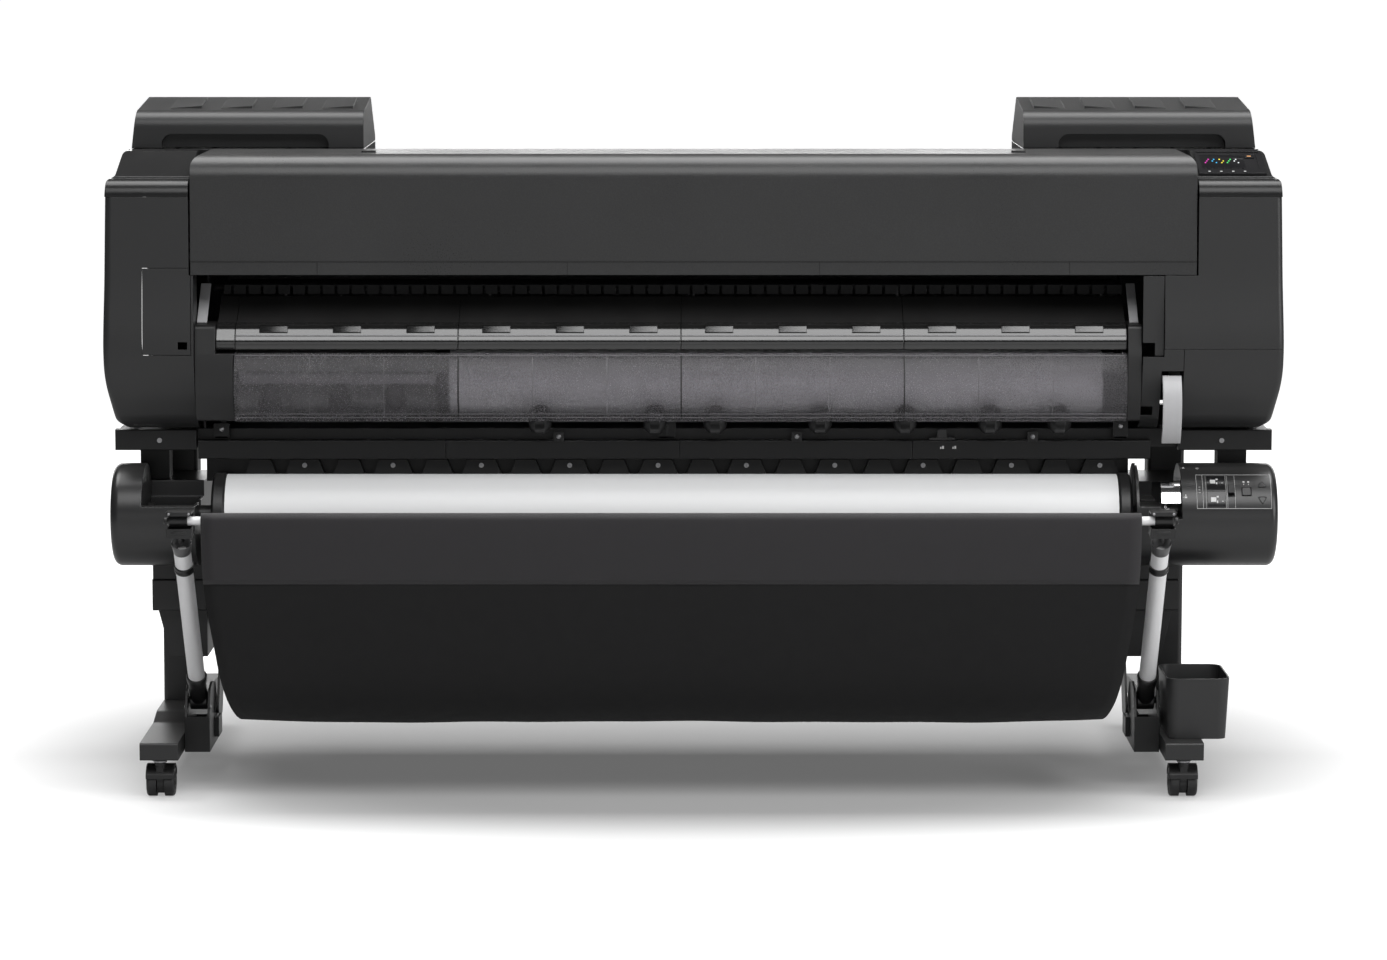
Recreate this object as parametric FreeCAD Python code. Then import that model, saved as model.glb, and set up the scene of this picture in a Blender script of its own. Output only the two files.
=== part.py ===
"""Large format plotter: a roll-fed printer body on a rolling stand with a paper basket.

Millimetres, +Z up. The front faces -Y, +X is to the right of someone standing in front.
The origin is on the floor under the middle of the whole machine.
"""
import FreeCAD, Part
import math
import os

V = FreeCAD.Vector

# ---- driving dimensions -------------------------------------------------------------------
WIDTH = 1999.0            # over the two side covers
HEIGHT = 1176.0           # floor to the ridge of the ink tank covers
DEPTH = 900.0             # basket bar to the rear ends of the feet, basket part open
PAPER_WIDTH = 1524.0      # 60 inch roll
SKIN = 3.0                # wall of the moulded covers
SHEET = 2.0               # wall of the pressed steel parts
GAP = 1.0                 # shut line between neighbouring covers

HALF = WIDTH / 2
FRONT = -252.0            # front face of the body covers
REAR = 290.0              # rear face of the body
COVER_BOTTOM = 624.0
MOUTH_TOP = 891.0         # the paper mouth lies under the top cover
COVER_SEAM = 1024.0       # side cover below, shoulder above
SHOULDER_TOP = 1093.5
DECK_TOP = 1078.0         # rear deck between the ink tank covers
COVER_X = 850.0           # half width of the top cover
MOUTH_LEFT = -846.0       # the mouth runs between these two
MOUTH_RIGHT = 760.0
SERVICE_X = 797.0         # inner edge of the right cover beside the mouth
SERVICE_TOP = 767.0       # top of the maintenance cover
MID_X = -37.0             # stand, lower roll and basket are centred here

PAPER_LEFT = MID_X - PAPER_WIDTH / 2
PAPER_RIGHT = MID_X + PAPER_WIDTH / 2

ROLL_Y, ROLL_Z = -172.0, 475.0          # axis of the lower roll
ROLL_UNIT_R = 88.0
PAPER_R = 69.0
SHAFT_R = 15.5
UPPER_Y, UPPER_Z = -118.0, 700.0        # axis of the upper roll
UPPER_PAPER_R = 58.0
UPPER_PAPER_WIDTH = 1118.0              # 44 inch roll

FOOT_WIDTH = 65.0
FOOT_FRONT = -303.0
FOOT_REAR = DEPTH / 2
FOOT_BOTTOM = 69.0
FOOT_TOP = 99.0
LEG_OFFSET = 871.5        # stand centre to the middle of each leg
CASTER_R = 25.0
CASTER_FRONT_Y, CASTER_REAR_Y = -268.0, 405.0
CASTER_TRAIL = 15.0

ARM_OFFSET = 816.5        # stand centre to each basket arm
ARM_PIVOT_Y, ARM_PIVOT_Z = -160.0, 150.0
ARM_TOP_Y, ARM_TOP_Z = -403.0, 446.0
BAR_Y, BAR_Z = -430.0, 496.0
BAR_R = 7.5
ARM_R = 14.8

parts = {}


# ---- shape helpers ------------------------------------------------------------------------
def keep(name, *solids):
    """Files the separate solids of one node."""
    parts[name] = list(solids)


def block(x0, x1, y0, y1, z0, z1):
    return Part.makeBox(x1 - x0, y1 - y0, z1 - z0, V(x0, y0, z0))


def bar_x(x0, x1, y, z, radius):
    return Part.makeCylinder(radius, x1 - x0, V(x0, y, z), V(1, 0, 0))


def post_z(x, y, z0, z1, radius):
    return Part.makeCylinder(radius, z1 - z0, V(x, y, z0), V(0, 0, 1))


def tube(start, end, radius):
    run = end - start
    return Part.makeCylinder(radius, run.Length, start, run)


def outline(corners, place):
    """A closed wire through corners (a, b) or (a, b, radius); place puts (a, b) in space."""
    spots = [V(c[0], c[1], 0) for c in corners]
    turns = []
    for i, corner in enumerate(corners):
        here = spots[i]
        radius = corner[2] if len(corner) > 2 else 0
        if not radius:
            turns.append((here, here, here))
            continue
        back = (spots[i - 1] - here).normalize()
        ahead = (spots[(i + 1) % len(spots)] - here).normalize()
        half = back.getAngle(ahead) / 2
        middle = (back + ahead).normalize()
        reach = radius / math.tan(half)
        dip = radius / math.sin(half) - radius
        turns.append((here + back * reach, here + middle * dip, here + ahead * reach))
    edges = []
    for i, (start, mid, end) in enumerate(turns):
        if (start - end).Length > 1e-6:
            edges.append(Part.Arc(place(start), place(mid), place(end)).toShape())
        following = turns[(i + 1) % len(turns)][0]
        if (following - end).Length > 1e-6:
            edges.append(Part.makeLine(place(end), place(following)))
    return Part.Wire(edges)


def slab(axis, corners, start, end, inset=0.0):
    """An outline pushed along an axis. Corners are (y, z), (x, z) or (x, y) for x, y or z."""
    place = {"x": lambda p: V(start, p.x, p.y),
             "y": lambda p: V(p.x, start, p.y),
             "z": lambda p: V(p.x, p.y, start)}[axis]
    push = {"x": V(1, 0, 0), "y": V(0, 1, 0), "z": V(0, 0, 1)}[axis]
    face = Part.Face(outline(corners, place))
    if inset:
        face = face.makeOffset2D(-inset)
    return face.extrude(push * (end - start))


def join(*shapes):
    """One solid from overlapping ones, with the seams between flush faces removed."""
    whole = shapes[0]
    for shape in shapes[1:]:
        whole = whole.fuse(shape)
    return whole.removeSplitter()


def mirror_x(shape, middle=0.0):
    return shape.mirror(V(middle, 0, 0), V(1, 0, 0))


def round_upright_edges(shape, radius, wanted):
    """Rounds the edges whose middle passes the test."""
    edges = [e for e in shape.Edges if e.Length > radius and wanted(e.CenterOfMass)]
    return shape.makeFillet(radius, edges) if edges else shape


# ---- body covers --------------------------------------------------------------------------
# Side view of every body cover: flat above, a soft belly in front and a tucked-in bottom.
COVER_SIDE = [(REAR, COVER_BOTTOM), (-195, COVER_BOTTOM, 60), (-268, 735, 200),
              (FRONT, 880, 600), (FRONT, COVER_SEAM - 0.5), (REAR, COVER_SEAM - 0.5)]
# Front view of the left side cover.
LEFT_FRONT = [(MOUTH_LEFT, COVER_BOTTOM), (-966, COVER_BOTTOM), (-986, 640, 18), (-HALF, 715, 300),
              (-HALF, 770, 600), (-993.5, COVER_SEAM - 0.5), (-COVER_X - 3, COVER_SEAM - 0.5),
              (-COVER_X - 3, MOUTH_TOP), (MOUTH_LEFT, MOUTH_TOP)]
RIGHT_FRONT = [(SERVICE_X, COVER_BOTTOM), (966, COVER_BOTTOM), (986, 640, 18), (HALF, 715, 300),
               (HALF, 770, 600), (993.5, COVER_SEAM - 0.5), (COVER_X + 3, COVER_SEAM - 0.5),
               (COVER_X + 3, MOUTH_TOP), (SERVICE_X, MOUTH_TOP)]
SIDE_COVER_REAR = REAR - 5
BARE_Y = -190.0           # the side covers have no inner wall behind this
FLOOR_EDGE = 957.0        # and only a narrow floor outside this


def cover_solid(front_view, inset):
    low = min(c[0] for c in front_view) - 1
    high = max(c[0] for c in front_view) + 1
    body = slab("x", COVER_SIDE, low, high, inset)
    body = body.common(slab("y", front_view, FRONT - 40, SIDE_COVER_REAR, inset))
    return round_upright_edges(
        body, 12 - inset, lambda p: abs(p.x) > 975 and p.y < -188 and p.z > COVER_BOTTOM + 20)


def side_cover(front_view):
    """A moulded shell open at the rear and on top."""
    inner = cover_solid(front_view, SKIN)
    low = min(c[0] for c in front_view)
    high = max(c[0] for c in front_view)
    side = -1 if abs(low) > abs(high) else 1
    inner_x = high if side < 0 else low
    shell = cover_solid(front_view, 0).cut(inner)
    shell = shell.cut(block(min(inner_x, side * 990), max(inner_x, side * 990),
                            FRONT + 6, REAR, COVER_SEAM - 8, COVER_SEAM + 5))
    for outer_x, y, z in ((985, BARE_Y, 665), (FLOOR_EDGE, BARE_Y, COVER_BOTTOM + 6),
                          (FLOOR_EDGE, BARE_Y + 30, COVER_BOTTOM - 1)):
        x0, x1 = sorted((inner_x - side * 12, side * outer_x))
        shell = shell.cut(block(x0, x1, y, REAR, z, COVER_SEAM))
    return shell


DOOR_LEFT, DOOR_RIGHT = -932.5, -850.0
DOOR_LOW, DOOR_HIGH = 756.0, 904.0
DOOR_DEPTH = 3.5


def left_side_cover():
    cover = side_cover(LEFT_FRONT)
    doorway = block(DOOR_LEFT, DOOR_RIGHT + 0.5, FRONT - 20, FRONT + 14, DOOR_LOW, DOOR_HIGH)
    finger = block(-869, DOOR_RIGHT - 4, FRONT - 20, FRONT + 14, 650, 666)
    return cover.cut(doorway).cut(finger)


keep("left_side_cover", left_side_cover())

# The access door fills the doorway, curved like the cover, and hangs on its outer edge.
door = cover_solid(LEFT_FRONT, 0).cut(cover_solid(LEFT_FRONT, DOOR_DEPTH))
door = door.common(block(DOOR_LEFT + GAP, DOOR_RIGHT - 0.5, FRONT - 20, FRONT + 12,
                         DOOR_LOW + GAP, DOOR_HIGH - GAP))
door = door.cut(block(-872, -856, FRONT - 20, FRONT + 20, 766, 779))
keep("access_door", door)

MAINT_LEFT = 830.5
MAINT_REAR = -187.0


def right_side_cover():
    cover = side_cover(RIGHT_FRONT)
    service = block(SERVICE_X - 5, HALF + 5, FRONT - 30, MAINT_REAR, COVER_BOTTOM - 5, SERVICE_TOP)
    return cover.cut(service)


keep("right_side_cover", right_side_cover())


def maintenance_cover():
    corner = [(MAINT_LEFT, COVER_BOTTOM), (966, COVER_BOTTOM), (986, 640, 18), (HALF, 715, 300),
              (HALF, SERVICE_TOP - 0.7), (MAINT_LEFT, SERVICE_TOP - 0.7)]
    outer = slab("x", COVER_SIDE, MAINT_LEFT, HALF + 1)
    outer = outer.common(slab("y", corner, FRONT - 40, MAINT_REAR - 0.5))
    inner = slab("x", COVER_SIDE, MAINT_LEFT, HALF + 1, SKIN)
    inner = inner.common(slab("y", corner, FRONT - 40, MAINT_REAR + 10, SKIN))
    rounding = lambda p: p.x > 975 and p.y < -200 and COVER_BOTTOM + 20 < p.z < SERVICE_TOP - 2
    return round_upright_edges(outer, 12, rounding).cut(round_upright_edges(inner, 9, rounding))


keep("maintenance_cover", maintenance_cover())

# The panel round the release lever, and the upright trim above it.
LEVER_X0, LEVER_X1 = 794.5, 826.5
LEVER_SLOT_TOP = 729.0
surround = slab("x", COVER_SIDE, MOUTH_RIGHT + 0.5, MAINT_LEFT - GAP)
surround = surround.cut(slab("x", COVER_SIDE, MOUTH_RIGHT - 2, MAINT_LEFT + 5, SKIN + 1))
surround = surround.common(block(MOUTH_RIGHT, MAINT_LEFT, FRONT - 40, -165,
                                 COVER_BOTTOM - 1, SERVICE_TOP - 0.7))
surround = surround.cut(block(LEVER_X0 - 2, MAINT_LEFT, -300, 0, COVER_BOTTOM - 5, LEVER_SLOT_TOP))
surround = surround.cut(block(MOUTH_RIGHT, SERVICE_X - 0.5, -300, 0, 753.5, SERVICE_TOP))
surround = surround.cut(block(MOUTH_RIGHT - 1, 781, -300, 0, 650, 666))
trim = block(MOUTH_RIGHT + 0.5, SERVICE_X - GAP, FRONT, FRONT + SKIN, 755, MOUTH_TOP - GAP)
trim = trim.fuse(block(SERVICE_X - GAP - SKIN, SERVICE_X - GAP, FRONT, -190, 755, MOUTH_TOP - GAP))
trim = trim.cut(block(MOUTH_RIGHT - 1, 781, -300, -200, 750, 777))
keep("mouth_trims", surround.Solids[0], trim.removeSplitter())

# The release lever hangs in its slot from a pin at the top.
LEVER_PIN_Y, LEVER_PIN_Z = -245.0, 714.0
blade = [V(LEVER_X0, -252, 721), V(LEVER_X0, -268, 664), V(LEVER_X0, -245, 605),
         V(LEVER_X0, -239, 607.5), V(LEVER_X0, -261, 664), V(LEVER_X0, -246, 718)]
blade = Part.Wire([Part.Arc(*blade[:3]).toShape(), Part.makeLine(blade[2], blade[3]),
                   Part.Arc(*blade[3:]).toShape(), Part.makeLine(blade[5], blade[0])])
lever = Part.Face(blade).extrude(V(LEVER_X1 - LEVER_X0, 0, 0))
keep("release_lever", join(lever, bar_x(LEVER_X0, LEVER_X1, LEVER_PIN_Y, LEVER_PIN_Z, 7)))

# ---- top cover and shoulders --------------------------------------------------------------
TOP_HINGE_Y, TOP_HINGE_Z = -32.0, 1086.0
COVER_TOP = 1094.5


def top_cover():
    outside = [(-30, COVER_TOP), (-246, COVER_TOP, 42), (FRONT, MOUTH_TOP + GAP),
               (-30, MOUTH_TOP + GAP)]
    inside = [(-20, COVER_TOP - SKIN), (-243, COVER_TOP - SKIN, 39), (FRONT + SKIN, MOUTH_TOP - 10),
              (-20, MOUTH_TOP - 10)]
    ends = [(-COVER_X, 880), (-COVER_X, COVER_TOP, 22), (COVER_X, COVER_TOP, 22), (COVER_X, 880)]
    room = [(SKIN - COVER_X, 870), (SKIN - COVER_X, COVER_TOP - SKIN, 19),
            (COVER_X - SKIN, COVER_TOP - SKIN, 19), (COVER_X - SKIN, 870)]
    shell = slab("x", outside, -COVER_X, COVER_X).common(slab("y", ends, FRONT - 5, -20))
    shell = shell.cut(slab("x", inside, -COVER_X, COVER_X).common(slab("y", room, FRONT - 5, -10)))
    cheek = [(-10, 1060), (-150, 1050, 40), (-225, 930, 40), (-225, 880), (-10, 880)]
    shell = shell.cut(slab("x", cheek, -COVER_X - 1, COVER_X + 1))
    hook = [(-30, 1094), (-30, 1080), (-60, 1080), (-70, 1093)]
    for x in (-560, 0, 560):
        shell = shell.fuse(slab("x", hook, x - 30, x + 30))
        shell = shell.fuse(bar_x(x - 26, x + 26, TOP_HINGE_Y, TOP_HINGE_Z, 4))
    seam = block(-COVER_X - 1, COVER_X + 1, -262, FRONT + 3.1, 914, 915)
    return shell.removeSplitter().cut(seam)


keep("top_cover", top_cover())

# Shoulder: a tray for the ink tanks behind, a sloped cap in front of it.
TRAY_X = 572.0
CAP_REAR = -22.0
SHOULDER_SIDE = [(CAP_REAR, COVER_SEAM), (CAP_REAR, SHOULDER_TOP), (-85, SHOULDER_TOP, 8),
                 (-205, 1056), (-207, 1053), (FRONT, 1053, 28), (FRONT, COVER_SEAM)]
SHOULDER_EDGE = [(-993.5, COVER_SEAM), (-992, 1051, 9), (-981, 1056.5, 5)]
SHOULDER_FRONT = [(-COVER_X - 3, COVER_SEAM), *SHOULDER_EDGE, (-980, SHOULDER_TOP, 7),
                  (-COVER_X - 3, SHOULDER_TOP)]


def left_shoulder():
    cap = slab("x", SHOULDER_SIDE, -995, -COVER_X)
    cap = cap.common(slab("y", SHOULDER_FRONT, FRONT - 5, CAP_REAR))
    hollow = slab("x", SHOULDER_SIDE, -995, -COVER_X, SKIN)
    hollow = hollow.common(slab("y", SHOULDER_FRONT, FRONT - 5, CAP_REAR - SKIN, SKIN))
    hollow = hollow.fuse(block(-985, -COVER_X - 10, FRONT + 6, CAP_REAR - 6,
                               COVER_SEAM - 5, COVER_SEAM + 6))
    tray_front = [(-TRAY_X, COVER_SEAM), *SHOULDER_EDGE, (-979, SHOULDER_TOP, 2),
                  (-TRAY_X, SHOULDER_TOP)]
    tray = slab("y", tray_front, CAP_REAR, REAR)
    well = block(-970, -TRAY_X - SKIN, CAP_REAR + SKIN + 6, REAR - 8, COVER_SEAM + 4, HEIGHT)
    return join(cap.cut(hollow), tray.cut(well))


shoulder = left_shoulder()
keep("left_shoulder", shoulder)
keep("right_shoulder", mirror_x(shoulder))

# Ink tank covers: a long hood with a finger recess in front and four grip ridges on top.
TANK_FRONT, TANK_REAR = 0.0, 302.0
TANK_OUT, TANK_IN = -976.0, -573.0
TANK_BASE = SHOULDER_TOP + 0.7
TANK_EDGE, TANK_RIDGE_Y = 1156.0, 194.0    # front edge of the top, and where it is highest
TANK_SIDE = [(TANK_FRONT, TANK_BASE), (TANK_FRONT, TANK_EDGE, 30), (TANK_RIDGE_Y, HEIGHT, 10),
             (TANK_REAR, TANK_BASE + 8, 6), (TANK_REAR, TANK_BASE, 2)]
TANK_VIEW = [(TANK_IN, TANK_BASE), (TANK_OUT, TANK_BASE), (-966, HEIGHT + 2, 3),
             (TANK_IN, HEIGHT + 2)]
GRIP_X = (-924.0, -634.0)


def grip(depth, grow):
    low = TANK_BASE - 1
    shape = [(GRIP_X[0] - grow, low), (GRIP_X[0] - grow, 1118 + grow, 18),
             (GRIP_X[1] + grow, 1118 + grow, 18), (GRIP_X[1] + grow, low)]
    return slab("y", shape, TANK_FRONT - 5, TANK_FRONT + depth + grow)


def tank_cover():
    hood = slab("x", TANK_SIDE, TANK_OUT - 5, TANK_IN)
    hood = hood.common(slab("y", TANK_VIEW, TANK_FRONT, TANK_REAR)).cut(grip(20, 0))
    hollow = slab("x", TANK_SIDE, TANK_OUT - 5, TANK_IN, SKIN)
    hollow = hollow.common(slab("y", TANK_VIEW, TANK_FRONT, TANK_REAR, SKIN))
    hollow = hollow.cut(grip(20, SKIN))
    mouth = block(TANK_OUT + SKIN, TANK_IN - SKIN, TANK_FRONT + 26, TANK_REAR - SKIN,
                  TANK_BASE - 5, TANK_BASE + SKIN + 1)
    hood = hood.cut(hollow).cut(mouth)
    slope = (HEIGHT - TANK_EDGE) / TANK_RIDGE_Y
    for i in range(4):
        right = -858 + i * 88
        front_z = TANK_EDGE + slope * 46
        ridge = slab("y", [(right - 54, front_z - 1), (right, front_z - 1), (right, front_z + 5),
                           (right - 54, front_z + 1)], 46, 150)
        ridge.rotate(V(right, 46, front_z), V(1, 0, 0), math.degrees(math.atan(slope)))
        hood = hood.fuse(ridge)
    return hood.removeSplitter()


hood = tank_cover()
keep("left_tank_cover", hood)
keep("right_tank_cover", mirror_x(hood))


def ink_tanks():
    tanks = []
    pitch = 65.0
    for side in (-1, 1):
        for i in range(6):
            x = side * (608.0 + i * pitch)
            case = slab("x", [(40, COVER_SEAM + 4.5), (40, 1136, 6), (196, 1146, 6),
                              (196, COVER_SEAM + 4.5)], x - 29, x + 29)
            catch = slab("x", [(40.5, 1100), (32, 1104, 2), (32, 1124, 2), (40.5, 1130)],
                         x - 12, x + 12)
            tanks.append(case.fuse(catch).removeSplitter())
    return tanks


keep("ink_tanks", *ink_tanks())

# ---- operation panel ----------------------------------------------------------------------
PANEL_TILT = math.degrees(math.atan2(SHOULDER_TOP - 1056, 205 - 85))
PANEL_Y, PANEL_Z = -148.0, 1075.4
PANEL_KEY_X = 950.0


def on_panel(shape):
    """Lays a shape made flat at the panel's middle onto the shoulder's slope."""
    shape.rotate(V(0, PANEL_Y, PANEL_Z), V(1, 0, 0), PANEL_TILT)
    return shape


panel = block(858, 972, PANEL_Y - 56, PANEL_Y + 54, PANEL_Z - 1.2, PANEL_Z + 3)
panel = panel.fuse(block(862, 968, PANEL_Y + 42, PANEL_Y + 52, PANEL_Z, PANEL_Z + 6))
panel = panel.cut(block(864, 962, PANEL_Y - 36, PANEL_Y + 36, PANEL_Z + 1.6, PANEL_Z + 9))
panel = panel.cut(block(PANEL_KEY_X - 8, PANEL_KEY_X + 8, PANEL_Y + 18, PANEL_Y + 32,
                        PANEL_Z - 0.2, PANEL_Z + 9))
keep("operation_panel", on_panel(panel.removeSplitter()))
keep("power_key", on_panel(block(PANEL_KEY_X - 7.4, PANEL_KEY_X + 7.4, PANEL_Y + 18.6,
                                 PANEL_Y + 31.4, PANEL_Z + 1.2, PANEL_Z + 3.6)))

# ---- chassis and rear ---------------------------------------------------------------------
PAN_FRONT, PAN_BOTTOM, PAN_TOP = -146.0, 588.0, 620.0
FRAME_X = (-842.0, 951.0)           # the two side frames, each FRAME_T thick
FRAME_T = 4.0
FEED_Y, FEED_Z, FEED_R, FEED_PIN_R = 19.0, 850.0, 14.0, 6.0
UNIT_POST_X = 934.5
UNIT_BACK_TOP = 523.0
CRADLE_X = (-807.0, 731.0)          # seats for the ends of the upper spool
FEED_BRACKET_X = 744.0
RIB_X = (-700.0, -350.0, 0.0, 350.0, 700.0)   # upright ribs under the platen


def chassis():
    pan = block(-986, 986, PAN_FRONT, REAR - 6, PAN_BOTTOM, PAN_TOP)
    pan = pan.cut(block(-984, 984, PAN_FRONT + SHEET, REAR - 8, PAN_BOTTOM - 1, PAN_TOP - SHEET))
    shapes = [pan]
    frame_top = COVER_SEAM - 1
    side_view = [(-140, PAN_TOP - 1), (-140, 790), (-60, 840, 20), (-60, 885), (-36, 900),
                 (-36, frame_top, 15), (270, frame_top, 15), (270, PAN_TOP - 1)]
    shapes.extend(slab("x", side_view, x, x + FRAME_T) for x in FRAME_X)
    shapes.append(block(FEED_BRACKET_X, FEED_BRACKET_X + FRAME_T, 0, 40, PAN_TOP - 1, 870))
    for x in (-UNIT_POST_X, UNIT_POST_X):
        shapes.append(block(x - 25, x + 25, -70, -20, UNIT_BACK_TOP + 0.5, PAN_TOP - 1))
    rib = [(-6, PAN_TOP - 1), (-50, PAN_TOP - 1), (-50, 770, 10), (-120, 780), (-186, 796, 3),
           (-186, 804), (-166, 817), (-128, 839), (-119, 846), (-119, 861.7), (-6, 861.7)]
    shapes.extend(slab("x", rib, x - 2, x + 2) for x in RIB_X)
    shapes.append(block(-840, 750, -118, -116, 526, PAN_TOP - 1))
    for x in CRADLE_X:
        seat = block(x - 5, x + 5, UPPER_Y - 32, UPPER_Y + 32, PAN_TOP - 1, UPPER_Z + 12)
        room = SHAFT_R + 0.5
        seat = seat.cut(bar_x(x - 6, x + 6, UPPER_Y, UPPER_Z, room))
        shapes.append(seat.cut(block(x - 6, x + 6, UPPER_Y - room, UPPER_Y + room,
                                     UPPER_Z, UPPER_Z + 20)))
    bore = bar_x(FRAME_X[0] - 1, FRAME_X[1] - 10, FEED_Y, FEED_Z, FEED_PIN_R + 0.05)
    return join(*shapes).cut(bore)


keep("chassis", chassis())


def rear_cover():
    back = block(-985, 985, REAR - 3, REAR, COVER_BOTTOM + 1, COVER_SEAM - 0.5)
    under = DECK_TOP - SKIN
    hump = [(CAP_REAR, SHOULDER_TOP - 1), (-8, SHOULDER_TOP - 1, 3), (-2, DECK_TOP, 3),
            (REAR, DECK_TOP, 18), (REAR, COVER_SEAM - 1), (REAR - 3, COVER_SEAM - 1),
            (REAR - 3, under, 15), (CAP_REAR, under)]
    cover = join(back, slab("x", hump, -TRAY_X + 0.5, TRAY_X - 0.5))
    for i in range(14):
        x = 300 + i * 22
        cover = cover.cut(block(x, x + 8, REAR - 5, REAR + 5, 700, 790))
    return cover.cut(block(-762, -718, REAR - 5, REAR + 5, 668, 702))


keep("rear_cover", rear_cover())

inlet = block(-761.5, -718.5, REAR - 28, REAR - 0.5, 668.5, 701.5)
inlet = inlet.cut(block(-752, -728, REAR - 20, REAR + 1, 677, 693))
for x in (-746, -740, -734):
    inlet = inlet.fuse(block(x - 1, x + 1, REAR - 21, REAR - 6, 682, 688))
keep("power_inlet", inlet)

# ---- paper path ---------------------------------------------------------------------------
PLATEN_TOP = 866.0
PLATEN_LEFT, PLATEN_RIGHT = -806.0, 736.0


def platen():
    top = block(PLATEN_LEFT, PLATEN_RIGHT, -126, 2, PLATEN_TOP - 16, PLATEN_TOP)
    top = top.cut(block(PLATEN_LEFT + 4, PLATEN_RIGHT - 4, -122, -4, PLATEN_TOP - 17,
                        PLATEN_TOP - 4))
    notches = [block(PLATEN_LEFT + 12 + i * 25.4, PLATEN_LEFT + 17 + i * 25.4, -130, -120,
                     PLATEN_TOP - 17, PLATEN_TOP + 1) for i in range(60)]
    return top.cut(Part.makeCompound(notches))


keep("platen", platen())

roller = bar_x(PLATEN_LEFT, PLATEN_RIGHT, FEED_Y, FEED_Z, FEED_R)
roller = roller.fuse(bar_x(FRAME_X[0] + 1, FEED_BRACKET_X + 3, FEED_Y, FEED_Z, FEED_PIN_R))
keep("feed_roller", roller)

rail = slab("x", [(-6, 905), (-34, 905), (-34, 925), (-60, 925), (-60, 930), (-32, 930),
                  (-32, 1014), (-60, 1014), (-60, 1019), (-6, 1019), (-6, 1015), (-28, 1015),
                  (-28, 909), (-6, 909)], FRAME_X[0] + FRAME_T + 0.4, FRAME_X[1] - 0.4)
keep("carriage_rail", rail)


CARRIAGE_X = 766.0        # left side of the parked carriage


def carriage():
    x0, x1 = CARRIAGE_X, CARRIAGE_X + 180.0
    case = slab("x", [(-62, 890), (-150, 890), (-168, 905, 6), (-168, 985, 14), (-140, 1020, 14),
                      (-62, 1020)], x0, x1)
    case = case.cut(block(x0 + 4, x1 - 4, -160, -68, 996, 1040))
    head = block(x0 + 30, x1 - 30, -140, -80, PLATEN_TOP + 4, 891)
    shoe = block(x0 + 10, x1 - 10, -63, -40, 932, 1012)
    return join(case, head, shoe)


keep("carriage", carriage())

MODULES = 4
MODULE_LEFT, MODULE_RIGHT = -777.5, 736.0
MODULE = (MODULE_RIGHT - MODULE_LEFT) / MODULES
CAP_LEFT = -810.0


def modules():
    """The left and right edges of each module across the paper mouth."""
    return [(MODULE_LEFT + i * MODULE, MODULE_LEFT + (i + 1) * MODULE - GAP)
            for i in range(MODULES)]


def across(section):
    """One piece of a section for the short end cap and one for each module."""
    runs = [(CAP_LEFT, MODULE_LEFT - GAP)] + modules()
    return [slab("x", section, x0, x1) for x0, x1 in runs]


keep("ejection_guide", *across([(-128, 846), (-165, 824, 120), (-196, 806), (-196, 802.5),
                                (-167, 820, 118), (-128, 842)]))
keep("guide_nose", *across([(-197.4, 799), (-197.4, 809, 4), (-219, 803, 14), (-233, 776, 20),
                            (-229, 763, 2.5), (-214, 763, 2.5), (-216, 780), (-201, 795)]))


def end_plate(upper, lower):
    """A moulded cheek, wider below the nose. upper and lower are (left, right)."""
    side = [(-150, 641), (-150, 806), (-234, 806, 8), (-250, 720, 160), (-226, 641, 6)]
    inner = [(-140, 630), (-140, 803), (-231, 803, 6), (-247, 720, 157), (-223, 644, 4)]
    cheek = slab("x", side, upper[0], upper[1]).common(block(-900, 900, -300, 0, 757, 900))
    foot = slab("x", side, lower[0], lower[1]).common(block(-900, 900, -300, 0, 600, 757))
    shell = cheek.fuse(foot)
    hollow = slab("x", inner, upper[0] + SKIN, upper[1] - SKIN)
    return shell.cut(hollow).removeSplitter()


keep("end_plates", end_plate((-845, -811), (-845, -781)),
     end_plate((737, 759.5), (737, 759.5)))

stay_side = [(-212, 809), (-135, 869), (-133, 866.5), (-210, 806.5)]
keep("side_stays", slab("x", stay_side, -844, -827), slab("x", stay_side, 741, 756))

# Smoked roll cover: one curved window strip on a hinge barrel tucked under the nose.
ROLL_COVER_Y, ROLL_COVER_Z = -220.0, 752.0


def roll_cover():
    left, right = MODULE_LEFT - 2.0, MODULE_RIGHT
    outer = [V(left, -228, 756), V(left, -246, 702), V(left, -228, 642)]
    inner = [V(left, -225, 643.5), V(left, -243, 702), V(left, -225.5, 754.5)]
    wire = Part.Wire([Part.Arc(*outer).toShape(), Part.makeLine(outer[2], inner[0]),
                      Part.Arc(*inner).toShape(), Part.makeLine(inner[2], outer[0])])
    window = Part.Face(wire).extrude(V(right - left, 0, 0))
    barrel = bar_x(left, right, ROLL_COVER_Y, ROLL_COVER_Z, 5.0)
    web = block(left, right, -227.5, -220, 748, 755)
    lip = slab("x", [(-229, 641, 2), (-229, 647), (-218, 647, 2), (-218, 641, 2)], left, right)
    return join(window, web, barrel, lip)


keep("roll_cover", roll_cover())


def spool(left, right, y, z, radius, flange_r, flange_left, flange_right):
    """A paper holder: a shaft with a flange and a core plug at each end of the roll."""
    shapes = [bar_x(left, right, y, z, radius)]
    for x0, x1, inward in ((flange_left - 23, flange_left, 1), (flange_right, flange_right + 23, -1)):
        disc = bar_x(x0, x1, y, z, flange_r)
        shapes.append(disc.makeChamfer(4, [e for e in disc.Edges if e.Length > flange_r]))
        shapes.append(bar_x(min(x0, x0 + inward * 55), max(x1, x1 + inward * 55), y, z, 25))
    return join(*shapes)


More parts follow.
